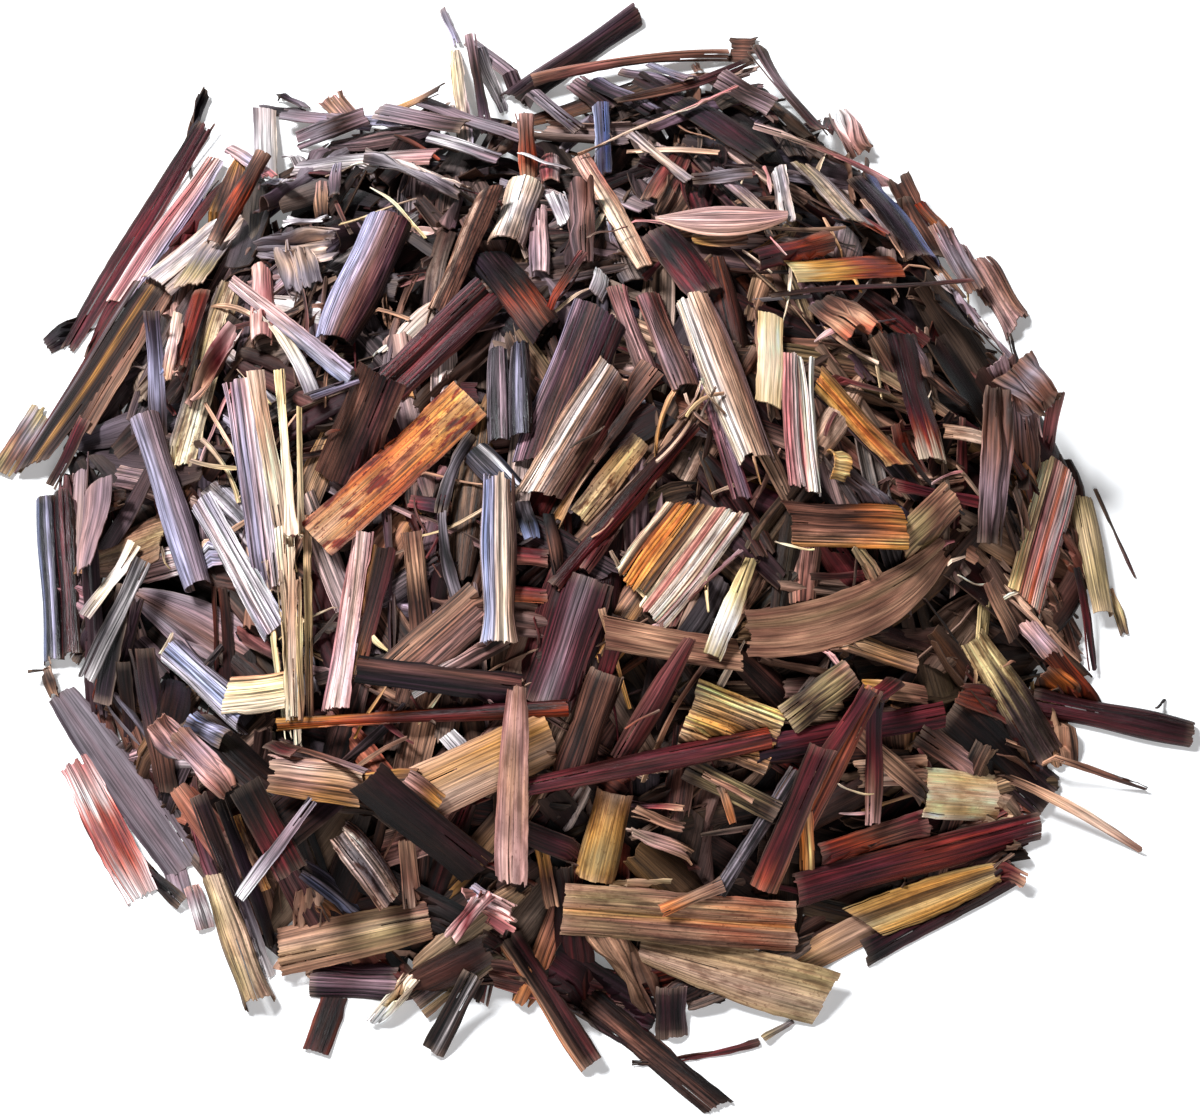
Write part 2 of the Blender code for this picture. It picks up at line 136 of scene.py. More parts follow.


# the leaves of the frame: name, start x and y, end x and y, across, wrap, slot and along/over, then
# what isn't usual; a backslash carries a row on to the next line
# the pale side of the over ramps of big_purple_tube and big_pale_brown_tube is partly a painted highlight of
# the light from the left, and the blue and steel along one edge of black_blue_sheath are partly a painted
# sheen
NAMED_LEAVES = """
top_folded_tube -25 130 11 161 7 200 dark_purple iupm/iiupvu cuts=-2,2 squash=.7 lines=1.2 gloss=.6
top_red_stick -20 135 37 147 3.4 190 rust bebub/ubt arch=14 sickle=-10 gloss=.6
maroon_edge_strip -112 122 -144 48 7 60 maroon imwmi/imwme ends=.6,.7 twist=20 rag=2 slits=3
pink_violet_strip -108 110 -131 60 9 70 mauve sevl/hkewkax ends=.7,1 streak=.4 lines=1.2 slits=3
left_striped_leaf -121 62 -150 10 13 55 grey ubuq/mwquiuguub ends=1,.7 cuts=0,-4 mix=.8 streak=.3 \
  lines=1.2 rag=1.2 slits=4 tone=.72
pale_ribbed_leaf -102 86 -119 58 18 60 pale qsqsq/qshqhsq ends=.85,1 cuts=-3,4 streak=.15 lines=.7 \
  spots=.3 rag=1.2 gloss=.3
pale_pink_sheath -87 106 -41 92 9 90 pale qqhle/shqs arch=12 squash=.8 mix=.35 lines=1 spots=.15 slits=3 \
  tone=.8
pale_half_tube -19 84 -24 50 9 170 pale csqsb/bchsqu squash=.8 mix=.5
speckled_tan_strip -7 103 12 36 6 60 tan letcst/bcstr ends=.9,.8 arch=8 mix=.5 spots=.35
brown_speckled_sheath_right 104 77 114 55 9 130 brown vbtv/vlbu cuts=1,-3 squash=.8 spots=.55 rag=1.4 \
  slits=4
black_blue_sheath 73 99 88 65 12 110 blue_black ipim/uipinxxn arch=8 mix=.85 spots=.3 gloss=.75 tone=1.5
yellow_rust_strip 46 45 82 63 8 50 gold yggrwrr/gyg mix=.1 streak=.1 lines=.3 rag=.3 slits=1 tone=1.2
dark_maroon_orange_leaf -29 50 -13 22 11 60 dark_purple ipiurbu/ipuui cuts=2,-3 mix=.4 streak=.5 lines=1.2 \
  gloss=.65
mottled_brown_sheath -29 71 -41 29 8 150 brown ubub/sbtsubub cuts=-2,3 squash=.8 spots=.9 tone=1.15 \
  patches=.2
big_purple_tube -55 65 -67 23 13 210 purple vavu/pxaavbmui ends=.95,.8 squash=.65 mix=.85 lines=1.3 \
  slits=3 gloss=.6
maroon_folded_leaf -27 33 -52 8 10 120 maroon umwu/vwuwmb squash=.8 lobes=2 lines=1.2 gloss=.6
lavender_pink_strip -98 55 -58 4 5 40 lavender kkkaax/ahkl ends=.7,1 mix=.4 lines=.8 tone=.8
maroon_ribbed_strip 12 36 21 5 7 100 brown wbvb/bvubm lines=1.3
purple_wide_leaf 0 28 -14 -14 15 110 purple pmum/avpbpmui cuts=2,-2 squash=.7 lines=2 slits=4 tone=1.2
black_blue_ribbed_pair -23 18 -22 -8 12 130 blue_black iqpi/iqiviqiaiu lobes=2 mix=.85 lines=1.8 slits=3 \
  gloss=.75 tone=.9
gold_brown_sheath 4 9 -14 -24 12 105 tan ubts/tshtqbuwu cuts=3,-3 mix=.7 lines=1.4 spots=.5 slits=3 \
  tone=.85
big_pale_brown_tube 24 34 38 -14 10 200 tan slts/qchstbvuq squash=.85 mix=.85 lines=1.1 rag=1 slits=3 \
  tone=.9
pale_yellow_strip 43 32 41 1 7.5 50 cream yccy/gcccg mix=.35 streak=.08 lines=.25 rag=.3 slits=0 gloss=.4 \
  tone=1.1
pink_vertical_leaf -57 -27 -63 -71 7 55 mauve vlkak/elkske ends=.8,1.1 arch=-14 sickle=12 lines=1 spots=.3 \
  rag=1.6 slits=3 tone=.85
orange_mottled_strip -69 -30 -31 4 13 25 orange ttorogg/rogtgoz arch=-6 mix=.4 streak=.12 lines=.6 spots=1 \
  rag=.3 slits=0 wave=.1 gloss=.45 tone=.85 patches=.2
white_blue_tube -25 -19 -24 -60 8 220 lavender vash/pxsaxascstbu ends=1.1,.9 squash=.8 mix=.8 lines=1.3 \
  rag=1.8 slits=3 tone=.74
multi_striped_broken_leaf 9 -49 26 -25 20 45 orange gog/chechcecuugogouce ends=.9,.9 cuts=3,-5 mix=.88 \
  lines=.8 spots=.45 rag=2 slits=8 ribs=.1
maroon_rust_stick -11 -46 23 -4 4 180 rust mwum/rwui arch=6 gloss=.65
gold_orange_strip 54 15 74 -8 7 50 gold ggot/dgrgbd cuts=-2,2 lines=.6 spots=.7 tone=.9
white_pink_striped_leaf 48 16 50 -20 11 100 brick slek/wekhechch ends=.7,1 lobes=2 mix=.75 lines=1.1 \
  rag=1.6 slits=5 ribs=.1 tone=1.15
brown_orange_sheath 44 -28 75 -24 13 120 brown bbuog/gtbubiu squash=.8 mix=.5 lines=1.1 spots=.2 tone=1.15
maroon_strip_pale_tip 77 34 83 -5 8.5 80 maroon umumumwrsc/imui mix=.2 lines=.8 gloss=.65
curved_brown_blade 34 -62 90 -27 13 28 brown btbtb/tbtbdbt ends=.9,.5 arch=10 sickle=42 mix=.4 streak=.1 \
  lines=.45 spots=.15 rag=1.4 slits=1 tone=1.1
dark_red_tube_right 108 -55 148 -64 7 240 maroon imwmii/uwmui arch=6 squash=.8 lines=.6 spots=.3 gloss=.6 \
  tone=.7
green_brown_node_leaf 91 -43 113 -72 11 100 khaki dydpip/bdydb ends=.8,1.15 mix=.15 lines=.6 spots=.75 \
  rag=1.6 tone=1.1
green_tan_tube_right 126 1 129 -32 7 200 khaki dsds/dyddf squash=.8 lines=.8 tone=.9
striped_yellow_red_sheath 120 5 108 -33 14 100 brick skeg/yydwlrkhehlr cuts=2,2 squash=.8 mix=.75 \
  lines=1.1 slits=1 ribs=.1 tear=.2 tone=1.15
gold_olive_leaf 63 -114 97 -100 10 45 gold dggd/dgyugf ends=1,.5 cuts=-4,0 lines=.6 spots=.3 tone=.9
dark_red_wide_strip 46 -109 108 -89 9 80 rust wmrwu/uwmwi ends=1,.9 mix=.5 lines=1 slits=3 gloss=.55
yellow_curled_leaf 76 -86 100 -82 12 80 cream yygyt/hycsyc squash=.8 streak=.08 lines=.2 spots=.45 slits=1 \
  tear=.2 tone=1.35
light_tan_leaf_front 9 -121 54 -132 13 40 tan bttd/dsdd ends=.45,1.1 cuts=0,2 mix=.6 streak=.1 lines=.35 \
  spots=.6 slits=1 tone=.95
brown_tube_centre 2 -64 -8 -90 8 230 brown ubum/ububui squash=.8 lines=1.4
gold_tube 4 -89 -2 -110 9 170 gold bgdg/bgdgb squash=.8 mix=.4 lines=.4 spots=.5 rag=.3 slits=0
tan_double_strip -9 -115 47 -117 13 80 tan tdbtrt/dbtbgtdtb cuts=0,-1 lobes=2 mix=.5 streak=.15 lines=.7 \
  spots=.5
maroon_orange_tube -17 -92 40 -78 4.5 240 rust mwumwur/uewu mix=.3 gloss=.65
long_dark_red_stick -77 -74 -7 -73 3.2 150 rust gormwur/yrui mix=.3 gloss=.6
pink_mauve_strip -19 -68 -22 -115 10.5 45 mauve bltlk/eltlb ends=.55,1 arch=8 mix=.4 streak=.12 lines=.3 \
  spots=.4 rag=1.2 tone=.9
mottled_dark_bottom -4 -130 28 -157 7 60 dark_purple uibiui/ibui cuts=0,2 mix=.5 spots=.5 rag=1.6
dark_brown_pair_bottom -22 -118 -2 -148 6.5 150 brown iuub/otuiwi lobes=2 slits=0 gloss=.55
purple_half_tube_bottom -69 -126 -48 -127 9 150 purple pmvp/ipvmpw squash=.8 lines=1 slits=0 gloss=.6
tan_ribbed_strip_bottom -77 -121 -40 -115 11 60 tan ttdb/btdsbb ends=1,.9 mix=.4 lines=.5 spots=.2 rag=1.2 \
  slits=3
grey_strip_left_bottom -136 -52 -101 -99 11 28 grey qqvq/pqvqqv ends=.7,.9 arch=8 streak=.12 lines=.4 \
  slits=1 gloss=.3 tone=.68
khaki_tube -94 -101 -81 -133 6 260 khaki sdtdb/udsd ends=.9,1.1 lines=.7 spots=.5 rag=1.2
red_white_ribbed_piece -131 -71 -111 -106 10 45 brick ekhzwzkh/ekhzle ends=.8,.9 mix=.3 rag=2 slits=3 \
  tone=.9
lavender_ribbed_tube_low -108 -45 -85 -69 7 260 lavender aha/iahqxapi mix=.7 streak=.3 lines=2.3 slits=1 \
  tone=.85
white_ribbed_tube -100 -11 -79 -48 8 120 lavender ahha/phqkhqha squash=.9 mix=.6 streak=.3 lines=2.4 \
  slits=1 ribs=.12 tone=.64
lavender_tube_left -116 12 -100 -33 7 280 lavender vqaa/iqaavvi mix=.7 streak=.12 rag=.3 slits=0 tone=.85
blue_black_sheath_left_edge -143 3 -136 -44 11 150 blue_black ipi/pixiaiiwiwmui lobes=2 mix=.85 lines=1.6 \
  gloss=.75 tone=.9
"""

# smaller leaves, listed from the lowest up: the same without name and slot
MIDDLE_LEAVES = """
-97 -70 -70 -94 14 60 uiup
-78 -104 -60 -84 13 60 iupu
84 -62 113 -82 14 60 uiup
-38 152 -5 112 5 60 qvqp
-8 136 4 118 7 70 vup
-2 132 16 112 7 90 pvu/ipau
6 134 26 127 8 90 pam/uvam
10 128 32 110 7 60 upv
-35 144 -27 126 6 40 qhq ends=1,.4
-37 148 -31 106 3.5 90 vupv gloss=.6
-46 163 -41 150 2.5 60 qa
-42 151 -36 95 4.5 60 cyckwaa/ycq ends=.6,1
37 149 45 148 9 60 ubu rag=1.5
44 141 62 110 7 70 uvum rag=1.5
27 145 28 134 2.5 80 ub
22 118 45 94 9 60 ipmi spots=.4
0 122 1 84 5 90 axpi/hxpni gloss=.7
-50 120 -20 102 6 50 qvqv lines=.5
-47 103 -27 94 5 40 qhqv
-99 129 -83 125 4 60 qiq ends=.3,1 rag=2
-92 133 -83 127 4 60 ipq rag=2.5
-77 132 -70 123 7 70 ltlu rag=1.5
-90 124 -62 119 8 50 qvav rag=1.5 lines=.6
-78 121 -48 110 8 60 vqap rag=1.5
-88 116 -62 113 6 40 vquv
-66 124 -40 118 5 60 ugtu
-62 116 -36 104 7 60 qvu
-88 112 -80 102 6 50 qhv rag=2
-95 127 -92 98 7 50 khhq/qhhc streak=.1 lines=.5 slits=0 tone=.8
-112 133 -119 104 4 60 ipi rag=3 crease=.5
4 114 43 135 4.5 50 ubmu ends=.4,.7 sickle=12
14 136 26 124 6 60 qav
33 128 48 118 7 60 vuv
-20 108 -19 90 5 120 lbrt
-14 108 -13 78 5.5 130 wlmr/mewhm
-22 96 -8 88 3 50 hq
7 94 32 92 3 60 tst sickle=-12
8 100 24 78 4 60 qsq
30 84 48 62 7 60 qvsq spots=.5 rag=1.5
24 78 40 80 5 60 uqu
-16 72 -15 40 5.5 100 vlvq/pvkv lines=1.2
-12 74 -8 60 5 60 hqh rag=2
-5 74 -5 44 8 70 bluv/uvbu crease=.3
2 66 4 44 3 60 hav
1 43 -1 33 6 30 hq slits=0
-4 45 -16 25 3.5 60 wurw
48 96 48 54 5 60 hqsh/uhqs rag=1.5
40 107 86 99 2 90 ksek sickle=-14
66 125 63 112 5 90 muwm
66 122 74 110 7 90 hklb twist=50 crease=.6 rag=2
82 100 90 84 7 60 ubm rag=2
55 100 69 62 9 60 dqsq/qdsqb spots=.6 rag=1.5
72 86 82 64 4.5 60 tqbt
84 92 92 72 6 60 ubu
88 90 98 77 8 70 rbot rag=1.5
92 82 102 62 7 60 bvqb rag=2 crease=.4
99 80 107 62 6 60 vlb rag=1.5
84 74 98 58 6 60 qbtu rag=1.5
38 44 62 62 5.5 120 mwrb gloss=.7
57 40 67 26 12 80 ubtr rag=1.5 crease=.4
68 30 78 18 6 60 tbv
80 36 84 22 5 60 uvb
90 62 100 40 3 90 hqvq twist=160 crease=.3
99 42 113 17 3.5 90 hvqh twist=140 sickle=-20 crease=.3
106 38 108 21 1.6 90 iu
-68 96 -46 90 6 140 qsqh/uqhqu sickle=-40 crease=.5 lines=1.3
-62 88 -34 74 6 130 qhqu/iqsq sickle=-50 twist=40 crease=.6 lines=1.3
-76 90 -74 72 4.5 150 ltu
-71 92 -70 72 4 150 avp
-110 96 -126 70 6 60 xpap
-104 100 -122 70 8 60 uwu rag=1.5
-99 105 -104 84 8 40 gbug ends=.2,1 rag=1.5 spots=.5
-82 100 -66 92 5 60 wmp
-92 92 -82 84 5 60 qah
-89 60 -85 26 5.5 250 tletl/tket lines=.6
-86 40 -69 6 4.5 40 hchq sickle=-20 lines=.6 slits=0 tone=.85
-97 54 -106 -2 9 60 ubdqcd/qdcd spots=.8 rag=2
-105 52 -108 22 6.5 150 uwwr/iwrw gloss=.7 tone=.85
-110 44 -110 18 3 60 xapx
-109 44 -108 14 3.5 60 skt rag=2
-104 14 -92 34 5 80 ltwk crease=.6 rag=2
-114 40 -113 8 5 80 pau
-123 62 -141 28 5 60 ugbg/ugb
-117 62 -138 19 12 50 ubtb/tbubt
-148 30 -157 10 8 50 dqbd rag=2
-138 58 -150 49 7 60 uip rag=2
-134 22 -144 4 4 60 wmu
-119 88 -139 44 9 60 uwmwu rag=1.5 lines=1.2
-129 1 -128 -30 11 60 vvlv/vlvv ends=1,.5 lines=.4 streak=.12 tone=.9
-119 -24 -88 -24 8 40 lkhak lines=1.2 tone=.9
-137 -20 -107 -18 17 20 gtbd/btdtu ends=.1,1 spots=.7 lines=.4 slits=0
-116 -31 -86 -50 15 40 vqvlv/vqbvq ends=.2,1 rag=1.8 lines=.5
-118 -30 -124 -60 7 60 uip
-122 -28 -132 -44 6 60 iui
-112 -48 -106 -84 8 60 upbu
-120 -56 -110 -82 7 70 ubm
-104 -52 -101 -82 8 60 pui
-124 -62 -116 -80 6 60 ui
-116 -20 -128 -39 5 50 chcq lines=.6
-112 -26 -128 -55 5 60 ihih/iihi lines=1.4
-120 -30 -134 -46 5 60 upu
-122 -46 -128 -62 3.5 80 uru rag=3
-118 -48 -116 -72 4 80 iup
-97 -72 -88 -77 5 200 xiai lines=1.6
-89 14 -81 -38 9 70 wkavav/avakhl lines=1.2
-85 14 -75 -36 5 60 stcsy
-80 18 -74 -30 3 60 ycs rag=2
-78 -22 -72 -77 3.4 60 ctsc rag=2
-82 -30 -75 -74 2.4 50 syc rag=2
-71 -20 -69 -74 2.6 50 tyb rag=2
-74 6 -72 -30 2 50 yc
-52 10 -66 -16 15 90 ubub/ubumb spots=.6
-71 -2 -44 20 4.5 70 pvpl/paiv lines=1.4
-52 -32 -60 -62 9 70 umbg/aguuw spots=.3
-45 -30 -42 -54 6 60 btub
-36 -24 -46 -22 4 80 wpw
-30 -10 -20 -21 7 170 iqxi/iqihiq lines=1.7
-31 -6 -39 -26 3.5 90 iqi twist=60 sickle=30
-39 -26 -31 -56 3 90 qiqu twist=-60 sickle=26
-16 -34 -19 -24 5 60 xiq
-22 -37 -12 -38 4.5 190 bwm/twu gloss=.7
-22 -45 -12 -46 4.5 190 twm/owu gloss=.7
-12 -28 -9 -44 4 100 ibi
4 38 12 7 5.5 90 wvu/ulm lines=1.3
15 57 27 36 10 100 miwm gloss=.65
24 18 34 -24 6 60 vaewe/mvaw lines=1.2
-4 -12 13 10 7 60 bub
-5 -29 10 -8 6 60 ytgu/tyu spots=1 lines=.4
12 -16 24 0 5 60 utu
10 -56 34 -36 1.4 90 kev
-4 -42 14 -16 3 90 wub
-15 -72 -4 -42 17 70 umwmu/umqmuw lines=1.2
6 -52 -4 -80 5 60 uwu
0 -60 34 -61 11 40 btbt lines=.5 streak=.12
36 -37 26 -64 5 50 dyhd ends=.6,1 spots=.3 lines=.4
24 -58 2 -86 6.5 70 bwbu/uewb ends=.5,1
20 -73 42 -79 16 20 ygtg/utguyg spots=.6 lines=2.6 slits=1
-48 -66 -27 -48 12 60 bbu/ulbtu lines=1.3
-44 -70 -22 -56 5 60 hlu lines=1.3
-57 -66 -18 -68 7 70 upum/ipbi
-36 -77 -31 -83 5 30 hq slits=0
56 -10 61 -10 8 170 gyg slits=0
59 -13 76 -22 5 70 uqp
71 -12 103 -12 4 150 wmwu
86 6 103 4 5.5 40 tst spots=.7 lines=.4
73 -29 88 -13 10 60 tdbt
60 -30 74 -44 6 60 dtd
100 26 112 12 8 100 vbq twist=70 rag=2 crease=.8
104 22 114 12 10 120 bqbu twist=-40 rag=2 crease=.7
107 20 112 -16 9 70 vbuv rag=1.5 crease=.5
100 16 97 -24 8 60 ubvu crease=.3
117 22 115 6 5 130 beu
118 2 122 -12 5 60 ut
130 6 138 -20 1.3 90 uim
131 -23 134 -36 3 70 tyu
122 -20 125 -47 4 60 iwm
109 -42 126 -58 5 70 bru
111 -48 119 -54 9 60 bou crease=.5
106 -38 113 -49 5 70 lvb rag=2
96 -34 93 -60 5 60 dyb rag=2
96 -30 104 -44 6 60 btu
52 -54 80 -54 6 60 tdgt/btu
62 -63 80 -62 6 60 gtb
36 -81 84 -67 6.5 80 pwmw
74 -71 98 -80 7 70 ublv
60 -84 80 -80 7 60 tsbt rag=1.5
58 -74 80 -88 5 60 btu
44 -74 60 -62 8 60 dudb
65 -66 65 -97 5 90 pmwbl
72 -60 62 -72 6 70 uwm
66 -66 46 -100 5 80 roto/orwu
64 -68 50 -86 4 80 mwu
48 -90 50 -110 4.5 60 zogt/uoyr
63 -121 101 -100 7 80 imum
94 -98 103 -103 4.5 80 bwt
52 -101 79 -91 7 80 wrbw
86 -90 104 -86 7 70 ubw
98 -70 136 -78 2.2 70 utbu twist=120
96 -76 133 -94 3 70 utsb twist=100 sickle=-12
47 -83 27 -112 4.5 60 iuqiqi/iqiu streak=.6 lines=2.2 spots=.8
54 -78 37 -112 7 70 wmuwo/uwmt
20 -84 42 -94 6 60 udu
7 -91 20 -94 2 60 vwt
-15 -96 -11 -115 4 60 tgbt
-42 -92 -11 -78 14 50 lstgt/tsgt rag=.6 lines=.4 streak=.12
-62 -88 -42 -90 7 70 tgb
-46 -90 -36 -95 6 60 lbg
-13 -125 13 -139 13 40 mupm/umi lines=.8 slits=1
17 -129 17 -141 8 80 miu/imiv
7 -147 38 -142 2 90 uwu sickle=14
38 -141 46 -136 2 60 dq
28 -87 32 -97 2.4 80 to
36 -92 24 -86 2 80 tbt
5 -100 24 -103 5 50 slt rag=2.5
8 -94 20 -98 4 50 tb rag=2.5
2 -110 17 -110 5 50 dtd
-20 -98 0 -104 6 60 umb
-63 -130 -67 -144 7 40 muuw/riuir slits=0
-40 -145 -29 -127 6 60 iui/iuhiui lines=1.8 tone=.8
-44 -133 -22 -118 9 70 tuiqd/tdipib lines=1.3 tone=.8
-54 -138 -44 -127 5 60 hcs rag=3 crease=.3
-88 -92 -80 -110 6 60 gutbg spots=1 lines=.5
-82 -92 -70 -112 8 60 iuwu
-72 -104 -53 -114 6 70 piqx/ixqiap lines=1.4
-46 -96 -44 -118 5 60 tbs rag=2.5
-77 -88 -55 -89 13 100 tlgt/gbskl rag=1.4
-105 -74 -95 -84 7 90 blvk twist=60 rag=2 crease=.6 tone=1.25
-99 -78 -85 -92 7 80 bvlb twist=-40 rag=2 crease=.4 tone=1.25
-79 -74 -50 -92 2.8 90 ubv
-78 -80 -70 -84 5 60 uw
-60 -103 -30 -118 9 60 iui
-58 -90 -24 -108 11 50 uiui/iumu spots=.5 lines=.5
-96 -86 -77 -132 5 50 pupqh lines=.9
-90 -88 -76 -124 4 60 ipi
-119 -88 -114 -101 5 60 hdh
-106 -92 -101 -106 6 60 qvq
-99 -103 -95 -114 5 60 lvhv
-112 -98 -101 -108 4 60 wiu
-30 -118 -16 -122 5 60 um
"""

# small leaves that lie on the leaves of the frame
TOP_LEAVES = """
-6 96 38 119 2.5 60 tssle ends=.3,1.5
23 54 38 57 7 60 gtb ends=.5,.6
14 59 48 60 12 90 sklbm/tklk ends=.1,.3
40 36 101 59 2.8 90 umuw
-102 74 -109 51 10 30 sqds rag=2 lines=.5
-106 114 -86 84 4 60 vkae rag=1.5
-91 95 -103 68 5 200 burub gloss=.6
-91 62 -66 57 9 50 qqsq ends=.4,.8 crease=.7 rag=3 lines=.5 spots=.2
-79 58 -75 43 10 60 qsqq crease=.7 rag=3 lines=.5 twist=30
-83 67 -70 65 5 50 hqh crease=.4 rag=2
-92 -62 -73 -64 11 40 ccy/ccyyr lines=.9 rag=.5
-77 -36 -73 -74 2.2 50 syc rag=2
-74 -30 -72 -76 2.6 60 ctsc rag=2
-72 -40 -70 -76 2.2 50 tyb rag=2
-66 -95 -82 -118 3.2 70 qvqh lines=1
-61 -97 -47 -113 11 90 shqut/tqsqt spots=1 rag=1.6 lines=1.2
14 -115 29 -109 4 90 otb
14 -16 26 4 1 60 st sickle=30
20 -3 30 4 1.2 60 yt sickle=-60
24 6 30 -3 1 60 ct sickle=60
20 3 26 -6 1 60 sb sickle=50
25 5 19 -4 0.8 60 sb sickle=-40
28 4 24 -4 0.8 60 ui sickle=50
-31 -110 -19 -117 5 70 akl twist=40 rag=2 crease=.5
-24 -110 -37 -121 4 80 ekwk rag=3 crease=.6 tone=1.1
-28 -116 -20 -121 3 60 we rag=2.5
-141 -44 -137 -54 3.5 80 sut rag=3
138 -59 143 -53 0.9 90 ui
"""


def length_of(row):
    return math.dist(row.start, row.end)


def middle_of(row):
    return (np.array(row.start) + np.array(row.end)) / 2


def heading_of(row):
    return math.atan2(row.end[1] - row.start[1], row.end[0] - row.start[0])


# --- leaf shape ---
VEIN_START, VEIN_GAP = (0, 1.2), (0.6, 1.6)   # where veins begin across a leaf, and how far apart
BUNDLE = 1.6      # width of the bundles of fibres that end together
FRAY = 0.22       # share of a leaf's length over which its torn end draws the fibres in
SIDE_STEP = 0.18  # how likely a torn side edge is to step in or out at each row of points
SLIT = (0.12, 0.5)   # how far in a slit runs, as a share of the length


def arc_radius(across, half_wrap):
    """Radius of an arc this wide that runs half_wrap to each side of its crown."""
    return across / 2 / (math.sin(half_wrap) if half_wrap < math.pi / 2 else 1.0)


def arc_section(across, half_wrap, v):
    """Width and height offsets across an arc, 0 at its crown."""
    radius = arc_radius(across, half_wrap)
    return radius * np.sin(half_wrap * v), radius * (np.cos(half_wrap * v) - 1)


def arc_length(row):
    """Width of the leaf if it were pressed flat."""
    half_wrap = math.radians(row.wrap) / 2
    return arc_radius(row.across / row.lobes, half_wrap) * 2 * half_wrap * row.lobes


def leaf_surface(row, s, v):
    """Points of the middle of the leaf wall, as in the frame."""
    length = length_of(row)
    first, last = row.ends
    across = row.across * (first * (1 - s) * (1 - 2 * s) + 4 * s * (1 - s) + last * s * (2 * s - 1))
    half_wrap = math.radians(row.wrap) / 2
    if row.lobes == 2:
        half_y, z = arc_section(across / 2, half_wrap, 2 * np.abs(v) - 1)
        y = np.sign(v) * (across / 4 + half_y)
    else:
        y, z = arc_section(across, half_wrap, v)
    z = z * row.squash * (-1 if row.hollow else 1)

    twist = math.radians(row.twist) * (s - 0.5)
    y, z = y * np.cos(twist) - z * np.sin(twist), y * np.sin(twist) + z * np.cos(twist)
    slant = (row.cuts[0] * (1 - s) + row.cuts[1] * s) * v
    x = length * (s - 0.5) + slant

    arch = math.radians(row.arch)
    if arch:
        turn, radius = arch * x / length, length / arch
        x, z = (radius + z) * np.sin(turn), (radius + z) * np.cos(turn) - radius
    sickle = math.radians(row.sickle)
    if sickle:
        turn, radius = sickle * x / length, length / sickle
        x, y = (radius - y) * np.sin(turn), radius - (radius - y) * np.cos(turn)
    return np.stack(np.broadcast_arrays(x, y, z), axis=-1)


def normals(points):
    """Unit normals of a grid of points."""
    normal = np.cross(np.gradient(points, axis=0), np.gradient(points, axis=1))
    return normal / (np.linalg.norm(normal, axis=2, keepdims=True) + 1e-9)


def smooth_noise(count, reach, lines=None):
    """Unit random values that change over about reach places, in one line or in many."""
    pad = 2 * int(reach) + 2
    raw = rng.normal(size=(count + 2 * pad,) if lines is None else (lines, count + 2 * pad))
    kernel = np.hanning(pad + 1)
    kernel /= np.sqrt((kernel ** 2).sum())
    made = np.apply_along_axis(lambda line: np.convolve(line, kernel, "same"), -1, raw)
    return made[..., pad:pad + count]


def vein_depths(cols, spacing):
    """How deep and dark each fibre column lies: the veins stand about a millimetre apart."""
    depth, at = np.zeros(cols + 1), rng.uniform(*VEIN_START)
    while at < cols * spacing:
        depth[int(at / spacing)] = rng.uniform(0.2, 1.0)
        depth[int(at / spacing) + 1] = rng.choice((0.0, 0.5))
        at += rng.uniform(*VEIN_GAP)
    return depth[:cols]


def torn_end(cols, spacing, rag):
    """How far the fibres of each column end from a clean cut, bundle by bundle."""
    bundle = np.cumsum(rng.random(cols) < spacing / BUNDLE)
    ends = np.abs(rng.normal(size=bundle[-1] + 1)[bundle]) ** 1.5 + rng.normal(size=cols) * 0.2
    return np.clip(ends, -0.5, 2.5) * rag * 0.5


def torn_side(rows, reach):
    """How far one side edge falls short of its line, as a share of the width, along the leaf."""
    steps = np.cumsum(rng.random(rows) < SIDE_STEP)
    level = np.abs(rng.normal(size=steps[-1] + 1))[steps] * 0.6 + np.abs(rng.normal(size=rows)) * 0.25
    return np.clip(level * reach, 0, 0.45)[:, None]


def ribbed_sheet(row, grid):
    """The wall of a leaf as a grid: its points, which quads are there, s and v of each point, veins."""
    length, flat = length_of(row), arc_length(row)
    cols, rows = max(4, int(flat / grid[1]) + 2), max(4, int(length / grid[0]) + 3)
    spacing = flat / (cols - 1)
    even = np.linspace(0, 1, rows)
    v = np.linspace(-1, 1, cols)[None, :].repeat(rows, axis=0)
    reach = row.tear / max(flat, 1.0)
    right, left = torn_side(rows, reach), torn_side(rows, reach)
    # only the outer fifth on each side draws in where the edge is torn
    v = v + 2 * right * np.clip(-v * 2.5 - 1.5, 0, 1) - 2 * left * np.clip(v * 2.5 - 1.5, 0, 1)
    near = np.clip(1 - even / FRAY, 0, 1)[:, None]
    far = near[::-1]
    s = even[:, None] + (near * torn_end(cols, spacing, row.rag)
                         - far * torn_end(cols, spacing, row.rag)) / length

    keep = np.ones((rows - 1, cols - 1), bool)
    lift = np.zeros((rows, cols))
    # a slit takes out quads between two columns, and the fibres on one side of it lift
    for _ in range(int(row.slits) if cols > 6 else 0):
        col, depth = int(rng.integers(1, cols - 2)), rng.uniform(*SLIT)
        place = even if rng.random() < 0.5 else 1 - even
        inside = place < depth
        keep[inside[:-1] & inside[1:], col] = False
        side = np.arange(cols) > col
        if rng.random() < 0.5:
            side = ~side
        lift += rng.normal() * row.rag * 0.6 * np.outer(np.clip(1 - place / depth, 0, 1) ** 1.5, side)

    mid = leaf_surface(row, s, v)
    normal = normals(mid)
    veins = vein_depths(cols, spacing)
    ribs = 0.6 * smooth_noise(cols, 0) + 0.6 * smooth_noise(cols, 0.8 / spacing) - 2 * veins
    sway = np.sin(2 * math.pi * (even * rng.uniform(0.6, 1.4) + rng.random()))[:, None]
    curl = rng.normal() * 0.5 * np.abs(v) ** 3 * np.sin(even * rng.uniform(1, 4) + 3 * rng.random())[:, None]
    away = lift + row.ribs * min(1.0, 0.3 + 0.7 * row.lines) * ribs + row.wave * (sway + curl)
    if row.crease:
        for _ in range(3):
            away += row.crease * np.outer(smooth_noise(rows, 2), smooth_noise(cols, cols / 7))
    return mid + normal * away[..., None], keep, s, v, veins


